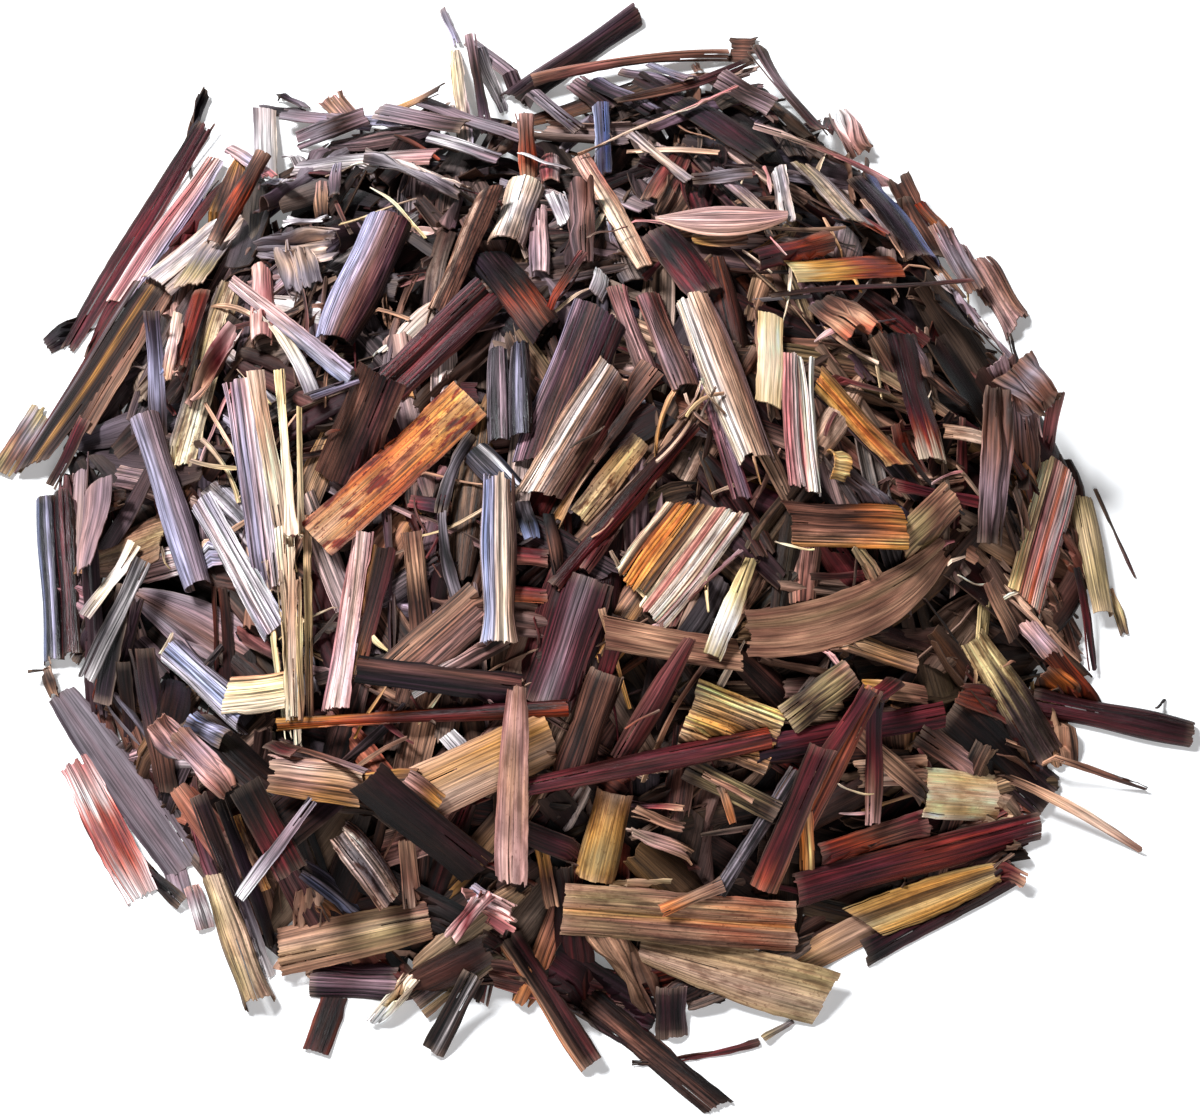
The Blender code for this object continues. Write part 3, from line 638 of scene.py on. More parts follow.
# --- leaf colour ---
DARKEST, PALEST = 0.002, 0.9
TIP_WEAR_AND_HIGHLIGHT, EDGE_WEAR_AND_HIGHLIGHT = 0.8, 0.3   # how far in the ends and side edges are paled: partly wear, partly a painted highlight where cut edges catch the light


def leaf_colours(row, s, v, veins):
    """Linear colours over a leaf: its ramps, blurred fibre by fibre, and its dark veins."""
    rows, cols = v.shape
    spacing = max(arc_length(row) / (cols - 1), 0.05)
    drift = 0.06 * smooth_noise(cols, 0.9 / spacing) + 0.05 * smooth_noise(cols, 0)
    colour = ramp(row.along, np.clip(s + drift, 0, 1))
    if row.over:
        place = np.clip((v + 1) / 2 + 0.02 * smooth_noise(cols, 0.3 / spacing), 0, 1)
        colour = colour * (1 - row.mix) + ramp(row.over, place) * row.mix
    colour = colour ** 2
    fibre = 0.6 * smooth_noise(cols, 0) + 0.45 * smooth_noise(cols, 0.8 / spacing)
    slow = smooth_noise(rows, 3, lines=cols).T
    faint = np.clip(1 + 0.4 * smooth_noise(rows, 2, lines=cols).T, 0, 2)
    tone = row.streak * (fibre + 0.4 * slow) - 1.5 * row.lines * veins * faint
    for _ in range(3):
        tone += row.patches * np.outer(smooth_noise(rows, 1), smooth_noise(cols, 1.2 / spacing))
    colour = colour * np.exp(np.clip(tone, -2.2, 0.6) + 0.22 * row.lines)[..., None]
    # ends and side edges paled toward sand, partly wear and partly a painted highlight on the cut edges
    tip = np.exp(-np.minimum(np.abs(s), np.abs(1 - s)) * length_of(row) / TIP_WEAR_AND_HIGHLIGHT)
    edge = np.exp(-(1 - np.abs(v)) * arc_length(row) / 2 / EDGE_WEAR_AND_HIGHLIGHT)
    pale = rng.uniform(-0.1, 0.55) * np.clip(tip + edge, 0, 1)[..., None]
    colour = colour + (0.6 * COLOUR["s"] - 0.3 * colour) * pale
    return np.clip(colour * row.tone, DARKEST, PALEST)


# --- meshes ---
RIM = 0.25                 # width of the strip of flat map that a leaf's edge gets
MAP_GAP = 0.3              # room round each leaf's chart on the flat map
SHARP = math.radians(50)   # edges that bend more than this stay sharp


def joined(*parts):
    """The rows of several arrays, one array after another."""
    return np.concatenate([np.asarray(part).reshape(len(part), -1) for part in parts])


def put(data, field, values, kind=np.float32):
    data.foreach_set(field, np.asarray(values, kind).ravel())


class Sheets:
    """Leaves with thickness, gathered into one mesh with its colours and a packed flat map."""

    def __init__(self):
        self.points, self.quads, self.colours, self.places, self.looks = [], [], [], [], []
        self.charts, self.sizes, self.count = [], [], 0

    def add(self, row, mid, keep, s, v, veins):
        """Add a leaf whose middle surface is in its final place."""
        colours, (rows, cols) = leaf_colours(row, s, v, veins), s.shape
        offset = normals(mid) * row.thick / 2
        points = joined((mid + offset).reshape(-1, 3), (mid - offset).reshape(-1, 3))
        points[:, 2] = np.maximum(points[:, 2], LOWEST)

        length, flat = length_of(row), arc_length(row)
        place = np.stack([s * length, (v + 1) / 2 * flat], axis=-1).reshape(-1, 2)
        index = np.arange(rows * cols).reshape(rows, cols)
        a, b, c, d = index[:-1, :-1], index[1:, :-1], index[1:, 1:], index[:-1, 1:]
        under = rows * cols
        top = np.stack([a, b, c, d], axis=-1)[keep]
        bottom = np.stack([a, d, c, b], axis=-1)[keep]
        quads, charts = [top, bottom + under], [place[top], place[bottom] + [0, flat + 4 * RIM]]
        padded = np.pad(keep, 1)
        step = min(RIM, 0.4 * flat / (cols - 1))
        for before, after, first, second, way in (
                (padded[:-1, 1:-1], padded[1:, 1:-1], index[:, :-1], index[:, 1:], (1, 0)),
                (padded[1:-1, 1:], padded[1:-1, :-1], index[:-1, :], index[1:, :], (0, -1))):
            for here, p, q, sign in ((after & ~before, first, second, -1),
                                     (before & ~after, second, first, 1)):
                p, q = p[here], q[here]
                quads.append(np.stack([p, q, q + under, p + under], axis=-1))
                away = np.array(way) * sign * (RIM if way[0] else step)
                charts.append(np.stack([place[p], place[q], place[q] + away, place[p] + away], axis=1))

        inner = colours * 0.55 + 0.2 * COLOUR["t"]   # the underside is duller
        self.points.append(points)
        self.quads.append(joined(*quads) + self.count)
        both = joined(colours.reshape(-1, 3), inner.reshape(-1, 3))
        self.colours.append(np.hstack([both, np.ones((len(both), 1))]))
        spot = np.full((rows * cols, 1), rng.uniform(0, 40))   # its own part of the noise
        self.places.append(joined(np.hstack([place, spot]), np.hstack([place, spot + 3])))
        # how spotted and glossy it is, and how strongly the material's fibres show
        look = np.array([row.spots, row.gloss, min(0.25 + 0.8 * row.lines, 1.3)])
        self.looks.append(np.broadcast_to(look, (2 * rows * cols, 3)))
        self.charts.append(np.concatenate(charts))
        self.sizes.append((length + 4 * RIM + 2 * row.rag, 2 * flat + 8 * RIM))
        self.count += 2 * rows * cols

    def packed(self):
        """Every leaf's chart, on shelves in a square, as places from 0 to 1."""
        sizes = np.array(self.sizes)
        side = math.sqrt(sizes.prod(axis=1).sum()) * 1.06   # room for what the shelves leave bare
        x = y = shelf = 0.0
        for i in np.argsort(-sizes[:, 0], kind="stable"):
            tall, wide = sizes[i]
            if x + wide > side and x > 0:
                x, y, shelf = 0.0, y + shelf, 0.0
            chart = self.charts[i]
            low = chart.reshape(-1, 2).min(axis=0)
            self.charts[i] = chart - low + [y + MAP_GAP, x + MAP_GAP]
            x, shelf = x + wide, max(shelf, tall)
        flat = np.concatenate(self.charts).reshape(-1, 2)
        return flat / (flat.max(axis=0) + MAP_GAP)

    def build(self, name, material):
        """The mesh, as a piece that rides on the heap's one body."""
        used, quads = np.unique(np.concatenate(self.quads), return_inverse=True)
        mesh = bpy.data.meshes.new(name)
        mesh.vertices.add(len(used))
        put(mesh.vertices, "co", np.concatenate(self.points)[used] * MM)
        mesh.loops.add(quads.size)
        put(mesh.loops, "vertex_index", quads, np.int32)
        mesh.polygons.add(quads.size // 4)
        put(mesh.polygons, "loop_start", np.arange(0, quads.size, 4), np.int32)
        mesh.update(calc_edges=True)
        for word, kind, field, values in (("leaf_colour", "FLOAT_COLOR", "color", self.colours),
                                          ("leaf_place", "FLOAT_VECTOR", "vector", self.places),
                                          ("leaf_look", "FLOAT_VECTOR", "vector", self.looks)):
            put(mesh.attributes.new(word, kind, "POINT").data, field, np.concatenate(values)[used])
        put(mesh.uv_layers.new(name="OFBake").uv, "vector", self.packed())
        mesh.shade_smooth()
        mesh.set_sharp_from_angle(angle=SHARP)
        mesh.materials.append(material)
        obj = bpy.data.objects.new(name, mesh)
        bpy.context.scene.collection.objects.link(obj)
        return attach(obj, "root")


# --- materials ---
def feed(node, inputs):
    """Give each of a node's sockets in inputs its constant, or the output that feeds it."""
    for key, value in inputs.items():
        if isinstance(value, bpy.types.NodeSocket):
            node.id_data.links.new(value, node.inputs[key])
        else:
            node.inputs[key].default_value = value
    return node


def add_node(tree, kind, inputs, **settings):
    """A new node with its settings, and its inputs fed."""
    node = tree.nodes.new("ShaderNode" + kind)
    for key, value in settings.items():
        setattr(node, key, value)
    return feed(node, inputs)


def maths(operation, first, second):
    """Result of a Math node; first is an output of the tree that the node goes into."""
    return add_node(first.id_data, "Math", {0: first, 1: second}, operation=operation).outputs[0]


def spread(value, low, high, to_low, to_high):
    """value moved from the range low to high onto the range to_low to to_high, and kept in it."""
    inputs = {0: value, 1: low, 2: high, 3: to_low, 4: to_high}
    return add_node(value.id_data, "MapRange", inputs).outputs[0]


def new_material(name):
    made = bpy.data.materials.new(name)
    made.use_nodes = True
    return made, made.node_tree, made.node_tree.nodes["Principled BSDF"]


def leaf_material(name, rough, stain):
    """Dry leaf: fibre streaks, blotches and specks over the leaf's own colours, in its own axes."""
    made, tree, shader = new_material(name)

    def layer(word, output):
        return add_node(tree, "Attribute", {}, attribute_name=word).outputs[output]

    def noise(scale, detail, roughness=0.55):
        """Noise over the leaf; scale is per mm along it and across it."""
        scaled = add_node(tree, "VectorMath", {0: place, 1: (*scale, 1.0)}, operation="MULTIPLY").outputs[0]
        return add_node(tree, "TexNoise", {"Vector": scaled, "Scale": 1.0, "Detail": detail,
                                           "Roughness": roughness}).outputs["Fac"]

    colour, place = layer("leaf_colour", "Color"), layer("leaf_place", "Vector")
    spots, gloss, lines = add_node(tree, "SeparateXYZ", {0: layer("leaf_look", "Vector")}).outputs
    streak = noise((0.08, 3.4), 4.0, 0.62)
    groove = noise((0.03, 1.5), 1.0)
    vein = noise((0.05, 0.9), 3.0)
    blotch = noise((0.16, 0.42), 4.0, 0.62)
    speck = noise((0.9, 1.5), 2.0)

    # fine streaks and the dark grooves between fibres, then slow bands along the leaf
    dark = maths("ADD", spread(streak, 0.39, 0.58, -0.5, 0.34), spread(groove, 0.36, 0.42, -0.45, 0.06))
    fibres = maths("MAXIMUM", maths("MULTIPLY", dark, lines), -0.85)
    tone = maths("MULTIPLY", maths("ADD", fibres, 1.0), spread(vein, 0.3, 0.7, 0.85, 1.17))
    toned = add_node(tree, "VectorMath", {0: colour, "Scale": tone}, operation="SCALE").outputs[0]

    # blotches and specks, as strong as the leaf is spotted
    blotched = maths("MULTIPLY", spread(blotch, 0.50, 0.62, 0.0, 1.0), spots)
    specked = maths("MULTIPLY", spread(speck, 0.60, 0.68, 0.0, 0.9), spots)
    darker = add_node(tree, "Mix", {0: 1.0, 6: toned, 7: (*stain, 1)}, data_type="RGBA",
                      blend_type="MULTIPLY").outputs[2]
    stained = add_node(tree, "Mix", {0: maths("MAXIMUM", blotched, specked), 6: toned, 7: darker},
                       data_type="RGBA").outputs[2]

    dull = maths("ADD", spread(gloss, 0.0, 1.0, rough + 0.22, rough - 0.22),
                 spread(streak, 0.3, 0.7, -0.08, 0.12))   # pale streaks are duller
    height = maths("ADD", streak, maths("MULTIPLY", speck, 0.25))
    bump = add_node(tree, "Bump", {"Strength": 0.8, "Distance": 0.0003, "Height": height})
    feed(shader, {"Base Color": stained, "Roughness": dull, "IOR": 1.47, "Specular IOR Level": 0.2,
                  "Normal": bump.outputs[0]})
    return made


# --- settling ---
# how far and in what steps tilts are tried, in degrees, first coarsely and then finely
SETTLE_SEARCH, POSE_SEARCH = ((36, 12), (6, 6)), ((32, 8), (6, 2))
SQUEEZE_COST = 3   # a millimetre of missing room under the ceiling costs as much as this much height


def close_points(grid, steps):
    """The points of a leaf with more put between them, so that they leave no cell of the map out."""
    for axis, step in enumerate(steps):
        count = (grid.shape[axis] - 1) * math.ceil(step / (0.9 * CELL)) + 1
        at = np.linspace(0, grid.shape[axis] - 1, count)
        low = np.minimum(at.astype(int), grid.shape[axis] - 2)
        share = (at - low)[(slice(None), None, None) if axis == 0 else (None, slice(None), None)]
        grid = np.take(grid, low, axis) * (1 - share) + np.take(grid, low + 1, axis) * share
    return grid.reshape(-1, 3)


def tilts(around, reach, step):
    """Pairs of pitch and roll, in degrees, on all sides of a pair."""
    steps = range(-reach, reach + 1, step)
    return [(around[0] + pitch, around[1] + roll) for pitch in steps for roll in steps]


def turned(tilt, heading):
    return np.array(Euler((math.radians(tilt[1]), math.radians(tilt[0]), heading), "XYZ").to_matrix())


class Heap:
    """Height map of the pieces laid so far, and the ceiling that the leaves of the frame put on it."""

    def __init__(self):
        count = int(2 * HALF_SPAN / CELL)
        self.top = np.zeros((count, count))
        self.ceiling = np.full((count, count), OPEN_SKY)
        centres = (np.arange(count) + 0.5) * CELL - HALF_SPAN
        self.x, self.y = np.meshgrid(centres, centres, indexing="ij")

    def cells(self, points):
        index = np.clip(np.floor((points[..., :2] + HALF_SPAN) / CELL).astype(int), 0, len(self.top) - 1)
        return index[..., 0], index[..., 1]

    def settle(self, points, middle, heading, under):
        """Turn and place points so that they rest low on the heap, and under the ceiling if they must."""
        around = (0, 0)
        for reach, step in SETTLE_SEARCH:
            pairs = tilts(around, reach, step)
            turns = np.array([turned(pair, heading) for pair in pairs])
            placed = np.einsum("kij,nj->kni", turns, points)
            placed[..., :2] += middle
            cells = self.cells(placed)
            lift = (self.top[cells] - placed[..., 2]).max(axis=1)
            room = lift + OPEN_SKY
            if under:
                room = (self.ceiling[cells] - placed[..., 2]).min(axis=1) + PRESSED
            height = np.maximum(np.minimum(lift, room), -placed[..., 2].min(axis=1))
            best = int(np.argmin(height + SQUEEZE_COST * np.maximum(lift - room, 0)))
            around = pairs[best]
        return turns[best], placed[best] + [0, 0, height[best]], height[best]

    def add(self, points):
        np.maximum.at(self.top, self.cells(points), points[:, 2])


def mound_heights(heap):
    """Top of the mound over each cell of the height map."""
    mesh = frame["nodes"][MOUND].data
    tree = BVHTree.FromPolygons([v.co for v in mesh.vertices], [p.vertices for p in mesh.polygons])
    heights = np.zeros_like(heap.top)
    for i, j in np.ndindex(heights.shape):
        hit = tree.ray_cast(Vector((heap.x[i, j] * MM, heap.y[i, j] * MM, 1)), Vector((0, 0, -1)))
        if hit[0] is not None:
            heights[i, j] = hit[0].z / MM
    return heights


def surface_centre(points, triangles):
    """Area centroid of a triangulated surface."""
    corners = points[triangles]
    area = np.linalg.norm(np.cross(corners[:, 1] - corners[:, 0], corners[:, 2] - corners[:, 0]), axis=1)
    return (corners.mean(axis=1) * area[:, None]).sum(axis=0) / area.sum()


def node_pose(row):
    """Turn and centres that carry the leaf's own axes onto its node in the frame."""
    mesh = frame["nodes"][row.name].data
    mesh.calc_loop_triangles()
    corners = np.array([v.co for v in mesh.vertices]) / MM
    centre = surface_centre(corners, np.array([t.vertices for t in mesh.loop_triangles]))
    s, v = np.meshgrid(np.linspace(0, 1, 33), np.linspace(-1, 1, 17), indexing="ij")
    index = np.arange(s.size).reshape(s.shape)
    halves = joined(np.stack([index[:-1, :-1], index[1:, :-1], index[1:, 1:]], -1).reshape(-1, 3),
                    np.stack([index[:-1, :-1], index[1:, 1:], index[:-1, 1:]], -1).reshape(-1, 3))
    wall = leaf_surface(row, s, v).reshape(-1, 3)
    middle = surface_centre(wall, halves)
    least, around = math.inf, (0, 0)
    for reach, step in POSE_SEARCH:
        for tilt in tilts(around, reach, step):
            turn = turned(tilt, heading_of(row))
            local = (corners - centre) @ turn + middle
            gap = np.sqrt(((local[:, None] - wall[None]) ** 2).sum(-1).min(axis=1)).mean()
            if gap < least:
                least, best, closest = gap, turn, tilt
        around = closest
    return best, middle, centre


# --- the leaves of the frame, remade ---
NAMED_GRID, MIDDLE_GRID, SMALL_GRID, CORE_GRID = (2.6, 0.27), (3.0, 0.33), (4.5, 0.55), (9.0, 2.2)
SLIVER_GRID = (1.6, 0.3)
MIDDLE_PER_MESH = 50

# roughness of each slot of the record, and what the stains on some leaves are multiplied by
ROUGH = dict(maroon=0.42, dark_purple=0.42, purple=0.46, mauve=0.55, lavender=0.52, blue_black=0.36,
             grey=0.6, pale=0.6, cream=0.58, tan=0.52, gold=0.5, orange=0.5, rust=0.42, brown=0.5,
             brick=0.55, khaki=0.55, straw_pieces=0.52)
STAIN = dict(orange=(0.30, 0.07, 0.05), pale=(0.50, 0.40, 0.30), cream=(0.50, 0.27, 0.16))
DARK_STAIN = (0.26, 0.15, 0.12)
materials = {name: leaf_material("leaf_" + name, rough, STAIN.get(name, DARK_STAIN))
             for name, rough in ROUGH.items()}

heap = Heap()
named_top = np.zeros_like(heap.top)
moves = []
for line in NAMED_LEAVES.strip().splitlines():
    name, *words = line.split()
    row = read_leaf(words[:6] + words[7:], name=name, slot=words[6])
    turn, middle, centre = node_pose(row)
    moves.append(centre[:2] - middle_of(row))
    mid, keep, s, v, veins = ribbed_sheet(row, NAMED_GRID)
    mid = (mid - middle) @ turn.T + centre
    sheets = Sheets()
    sheets.add(row, mid, keep, s, v, veins)
    obj = sheets.build("sheet_" + row.name, materials[row.slot])
    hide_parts(row.name)
    wall = close_points(mid, NAMED_GRID)
    cells = heap.cells(wall)
    np.minimum.at(heap.ceiling, cells, wall[:, 2] - CEILING_GAP)
    np.maximum.at(named_top, cells, wall[:, 2] + WALL)
shift = np.mean(moves, axis=0)   # from the places in the tables to the frame, which is centred

# --- the small pieces of the mound ---
CORE_DEPTH = 9     # how far under the mound's top the large leaves end, which are painted dark as shade
EDGE_BELOW = 14    # the mound is its thin edge where it is lower than this
THINNEST = 4.5     # least height of the small pieces where there are any
TOP_LAYER = 1.5    # room that the small pieces leave for the leaves with a place of their own
ROOF = 3.0         # how far a small piece may stand out over what is to be filled
EDGE_INSET = 4     # how far inside the edge of the heap the small pieces have their middles
PICKS = 10         # each small piece goes to the deepest of so many low places
GIVE_UP = 0.4      # how much less is asked of a place each time a piece is laid for it
SLIVER_REACH = 118
mound = mound_heights(heap)
# how far out small pieces lie on the table, every 15 degrees counterclockwise from +X
REACH = (130, 110, 120, 120, 134, 144, 132, 128, 138, 140, 142, 142,
         144, 140, 140, 142, 146, 136, 138, 134, 136, 140, 136, 128)
# bare table between the pieces: x, y and radius
CLEAR = [(-25, -138, 8), (-108, 112, 8), (-18, 122, 9), (-129, -33, 3), (92, 33, 4)]


def past_reach(x, y):
    """How far a place lies past the edge of the small pieces."""
    step = 2 * math.pi / len(REACH)
    edge = np.interp(np.arctan2(y, x) % (2 * math.pi), np.arange(len(REACH) + 1) * step, REACH + REACH[:1])
    return np.hypot(x, y) - edge


covered = past_reach(heap.x - shift[0], heap.y - shift[1]) < -EDGE_INSET
for x, y, radius in CLEAR:
    covered &= np.hypot(heap.x - x - shift[0], heap.y - y - shift[1]) > radius

# where the small pieces lie one way: x, y, heading and spread, degrees
GRAIN = [(-100, 70, 60, 30), (-110, -10, -70, 35), (-90, -90, -55, 40), (-30, 120, 10, 50),
         (-40, 50, 60, 55), (0, 0, 60, 60), (-40, -40, -75, 50), (50, 90, -20, 50), (60, 20, -65, 50),
         (100, 60, -60, 40), (110, -20, -65, 40), (70, -60, 20, 40), (90, -100, 18, 28),
         (0, -80, 30, 60), (20, -130, -20, 50), (-40, -120, 10, 50)]
# ramps of the small pieces in the warmer part of the heap, at the right and front, and elsewhere; the cooler
# lavender ramps, which fall more to the left and back, stand partly for a painted cool sheen of the light
# from that side
WARM = "mwu ubu tbu rwu wm bui pmu stb tst wrm btu dtu tsb mu gtu muw bwu gtb udb lbu".split()
COOL = "pqv vlp qvb qsq vsb pv wmv evu ub qtu bvu mpu shq qav mu cst aqv sq lvm tsu".split()
# and of the slivers
SLIVERS = "st ru cs uw wm tb gt iu ke ys".split()
# kinds of small leaf: how common each is, and the ranges of its width, wrap and length
KINDS = ((0.31, (4.5, 10), (20, 90), (24, 48)), (0.24, (5.5, 9.5), (110, 200), (26, 48)),
         (0.10, (5, 8), (220, 290), (20, 42)), (0.18, (1.5, 3.2), (120, 190), (24, 50)),
         (0.09, (6, 12), (30, 100), (10, 24)), (0.08, (0.8, 1.6), (60, 120), (18, 45)))
HALF_TUBE, SCRAP = 1, 4   # the kinds that may be doubled, and that twist the most
CORE_LEAF = ((34, 60), (9, 14), (60, 180))   # the length, width and wrap of leaves deep in the heap
# how dark the leaves deep in the heap are painted, a painted shade for the dark inside the heap, and the
# ranges of the random dark and light tones of the other small leaves
CORE_PAINTED_SHADE, DARK_TONES, LIGHT_TONES = 0.25, (0.2, 0.52), (0.75, 1.25)


def ray(heading):
    return np.array([math.cos(heading), math.sin(heading)])


def small_leaf(x, y, core):
    """A small piece of random shape, in the colours and lying the way of its part of the heap."""
    grain = min(GRAIN, key=lambda g: math.hypot(x - g[0], y - g[1]))
    heading = math.radians(grain[2] + rng.normal() * grain[3])
    warm = 1 / (1 + math.exp(-(0.7 * x - 0.8 * y + 12) / 32))   # share, more to the right and front
    # cool ramps fall more to the left and back, partly as a painted cool sheen
    ramps = WARM if rng.random() < warm else COOL
    along, over = ramps[rng.integers(len(ramps))], ramps[rng.integers(len(ramps))]
    kind = rng.choice(len(KINDS), p=[share for share, *_ in KINDS])
    _, wide, wrap, long = KINDS[kind]
    length, across = rng.uniform(*long), rng.uniform(*wide)
    if core:
        long, wide, wrap = CORE_LEAF
        length, across = rng.uniform(*long), rng.uniform(*wide)
    reach = ray(heading) * length / 2
    place = np.array([x, y])
    # a piece whose end would pass the edge of the heap moves in
    outside = max(0.0, *(past_reach(*(place + side * reach)) for side in (-1, 1)))
    place = place * (1 - outside / max(np.hypot(x, y), 60))
    return leaf(place - reach, place + reach, across, rng.uniform(*wrap), along, over=over,
                mix=rng.uniform(0.2, 0.6), ends=(rng.uniform(0.5, 1.05), rng.uniform(0.5, 1.05)),
                arch=rng.normal() * 12, sickle=rng.normal() * 8,
                twist=rng.normal() * (45 if kind == SCRAP else 12),
                cuts=tuple(rng.normal(size=2) * across / 6), squash=rng.uniform(0.6, 1),
                lobes=2 if kind == HALF_TUBE and rng.random() < 0.25 else 1,
                spots=max(0, rng.uniform(-0.6, 0.7)), rag=rng.uniform(0.3, 2.2), slits=rng.integers(0, 3),
                streak=rng.uniform(0.1, 0.3), lines=rng.uniform(0.3, 1.5), gloss=rng.uniform(0.3, 0.7),
                hollow=rng.random() < 0.2, crease=max(0, rng.uniform(-0.6, 0.7)),
                # a leaf deep in the heap gets a painted shade
                tone=CORE_PAINTED_SHADE if core else rng.choice((rng.uniform(*DARK_TONES),
                                                        rng.uniform(*LIGHT_TONES))))


def sliver(wide, long):
    """A thin torn fibre somewhere on the heap."""
    turn, out = rng.uniform(0, 2 * math.pi), math.sqrt(rng.random()) * SLIVER_REACH
    place = ray(turn) * out
    reach = ray(rng.uniform(0, math.pi)) * rng.uniform(*long) / 2
    along = SLIVERS[rng.integers(len(SLIVERS))]
    return leaf(place - reach, place + reach, rng.uniform(*wide), 70, along,
                ends=(rng.uniform(0.2, 1), rng.uniform(0.2, 1)), arch=rng.normal() * 10,
                sickle=rng.normal() * 22, twist=rng.normal() * 30, slits=0, rag=0.8, thick=0.3,
                tear=0.15, ribs=0.02)


def lay(row, grid, sheets, under=True, roof=None):
    """Settle a leaf on the heap and add it to a mesh; it sinks in where it would pass the roof."""
    mid, keep, s, v, veins = ribbed_sheet(row, grid)
    centre = mid.reshape(-1, 3).mean(axis=0)
    plan = middle_of(row) + shift
    # points about 1.3 mm apart along the leaf and 1 mm across it are enough to settle it
    skip = (max(1, int(1.3 / grid[0])), max(1, int(1.0 / grid[1])))
    sparse = mid[::skip[0], ::skip[1]].reshape(-1, 3) - centre
    turn, placed, height = heap.settle(sparse, plan, heading_of(row), under)
    if roof is not None:
        over = max(0.0, float((placed[:, 2] - roof[heap.cells(placed)]).max()))
        height -= min(over, float(placed[:, 2].min()))
    mid = (mid - centre) @ turn.T + [*plan, height + REST]
    if under:
        mid[..., 2] = np.minimum(mid[..., 2], heap.ceiling[heap.cells(mid)])
    mid[..., 2] = np.maximum(mid[..., 2], WALL)
    heap.add(close_points(mid, grid) + [0, 0, WALL])
    sheets.add(row, mid, keep, s, v, veins)


def small_mesh(name, sheets):
    """Leaves that the mound stands for, as one piece."""
    obj = sheets.build(name, materials["straw_pieces"])
    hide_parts(MOUND)


def fill(name, target, most, tolerance, grid, per_mesh=999, core=False):
    """Lay small leaves where the heap is furthest below the target, until it is filled."""
    meshes = [Sheets()]
    goal = np.minimum(target, heap.ceiling)
    slack = np.minimum(tolerance, 0.4 * goal + 0.6)   # thin parts are filled more closely
    for _ in range(most):
        low = np.argwhere(goal - heap.top > slack)
        if not len(low):
            break
        picks = low[rng.integers(len(low), size=PICKS)]
        i, j = picks[np.argmax((goal - heap.top)[picks[:, 0], picks[:, 1]])]
        goal[i - 1:i + 2, j - 1:j + 2] -= GIVE_UP
        if len(meshes[-1].points) == per_mesh:
            meshes.append(Sheets())
        lay(small_leaf(heap.x[i, j] - shift[0], heap.y[i, j] - shift[1], core), grid, meshes[-1],
            roof=target + ROOF)
    for number, sheets in enumerate(meshes, 1):
        small_mesh(f"{name}_{number}", sheets)


def lay_all(name, rows, grid, under=True):
    """Lay leaves one after another, as one piece."""
    sheets = Sheets()
    for row in rows:
        lay(row, grid, sheets, under)
    small_mesh(name, sheets)


# large leaves deep in the heap, darkened with a painted shade, a thin edge on the table, and small leaves
# over both
fill("core_pieces", np.maximum(mound - CORE_DEPTH, 0), most=600, tolerance=4.0, grid=CORE_GRID, core=True)
fill("edge_pieces", np.where(covered & (mound < EDGE_BELOW), np.clip(mound, THINNEST, CORE_DEPTH), 0),
     most=300, tolerance=6.0, grid=SMALL_GRID)
fill("small_pieces", np.where(covered, np.maximum(mound - TOP_LAYER, THINNEST), 0),
     most=700, tolerance=5.5, grid=SMALL_GRID, per_mesh=250)
lay_all("slivers_under", (sliver((0.6, 1.8), (10, 28)) for _ in range(120)), SLIVER_GRID)

middle = [read_leaf(line.split()) for line in MIDDLE_LEAVES.strip().splitlines()]
for number, first in enumerate(range(0, len(middle), MIDDLE_PER_MESH), 1):
    lay_all(f"middle_leaves_{number}", middle[first:first + MIDDLE_PER_MESH], MIDDLE_GRID)
heap.top = np.maximum(heap.top, named_top)
lay_all("top_leaves", [read_leaf(line.split()) for line in TOP_LEAVES.strip().splitlines()],
        MIDDLE_GRID, under=False)
lay_all("slivers_over", (sliver((0.4, 0.8), (5, 12)) for _ in range(14)), SLIVER_GRID, under=False)

# --- floor, light and camera ---
# where the lamps point, and the place, size, power and colour of each, in metres
AIM = (0, 0, 0.02)
LAMPS = dict(key=((-0.62, 0.42, 1.15), 0.36, 33, (0.94, 0.97, 1.0)),
             fill=((0.1, -1.0, 0.9), 0.8, 7, (0.97, 0.97, 1.0)))
LOOK_AT = (0, -24, 20)   # what the camera looks at, in the tables' places
LENS, SENSOR, ELEVATION = 73.2, 36.0, math.radians(64)
DISTANCE = 0.61          # of the camera, in metres, as are the next three
FLOOR_SIZE, FADE = 30, (0.3, 1.1)
LEAST_GLOW = 0.2         # the seen floor's glow before FADE, and it is white from there on
FLOOR_COLOUR, SKY_COLOUR = (0.86, 0.86, 0.86, 1), (0.97, 0.985, 1.0, 1)
SKY_LIGHT, SKY_IN_GLOSS = 0.02, 0.1   # strength of the world as a light, and in reflections

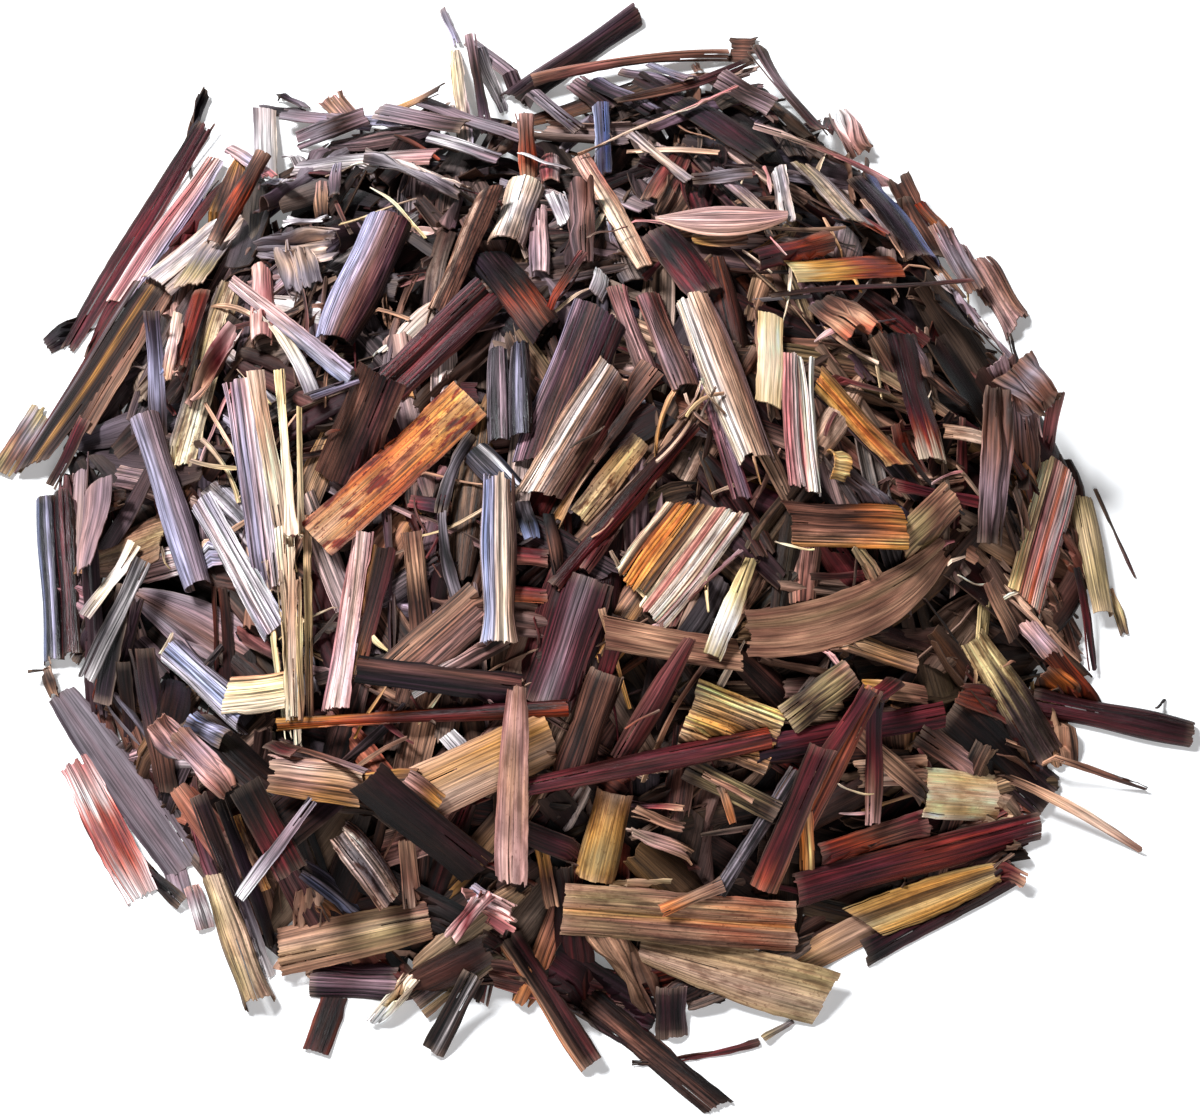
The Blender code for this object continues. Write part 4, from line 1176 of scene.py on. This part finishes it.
for name, (at, size, power, colour) in LAMPS.items():
    light = bpy.data.lights.new(name, "AREA")
    light.shape, light.size, light.energy, light.color = "DISK", size, power, colour
    obj = bpy.data.objects.new(name, light)
    obj.location = at
    obj.rotation_euler = (Vector(AIM) - Vector(at)).to_track_quat("-Z", "Y").to_euler()
    bpy.context.scene.collection.objects.link(obj)

target = Vector((shift[0] + LOOK_AT[0], shift[1] + LOOK_AT[1], LOOK_AT[2])) * MM
camera_data = bpy.data.cameras.new("camera")
camera_data.lens, camera_data.sensor_width, camera_data.clip_start = LENS, SENSOR, 0.01
camera = bpy.data.objects.new("camera", camera_data)
camera.location = target + Vector((0, -math.cos(ELEVATION), math.sin(ELEVATION))) * DISTANCE
camera.rotation_euler = (math.radians(90) - ELEVATION, 0, 0)
bpy.context.scene.collection.objects.link(camera)
bpy.context.scene.camera = camera


def seen_rays(tree, share):
    """1 on rays from the camera and a share of it on rays from gloss or glass."""
    path = tree.nodes.new("ShaderNodeLightPath").outputs
    bent = maths("MAXIMUM", path["Is Glossy Ray"], path["Is Transmission Ray"])
    return maths("MAXIMUM", path["Is Camera Ray"], maths("MULTIPLY", bent, share))


bpy.ops.mesh.primitive_plane_add(size=FLOOR_SIZE)
floor = bpy.context.object
floor.name = "floor"
ground, tree, shader = new_material("floor")
position = add_node(tree, "NewGeometry", {}).outputs["Position"]
away = add_node(tree, "VectorMath", {0: position}, operation="LENGTH").outputs["Value"]
glow = maths("MULTIPLY", seen_rays(tree, 1.0), spread(away, *FADE, LEAST_GLOW, 1.0))
feed(shader, {"Base Color": FLOOR_COLOUR, "Roughness": 0.9,
              "Emission Color": (1, 1, 1, 1), "Emission Strength": glow})
floor.data.materials.append(ground)

world = bpy.context.scene.world or bpy.data.worlds.new("world")
bpy.context.scene.world = world
world.use_nodes = True
tree = world.node_tree
strength = maths("MAXIMUM", seen_rays(tree, SKY_IN_GLOSS), SKY_LIGHT)
feed(tree.nodes["Background"], {"Color": SKY_COLOUR, "Strength": strength})
bpy.context.scene.view_settings.view_transform = "Standard"
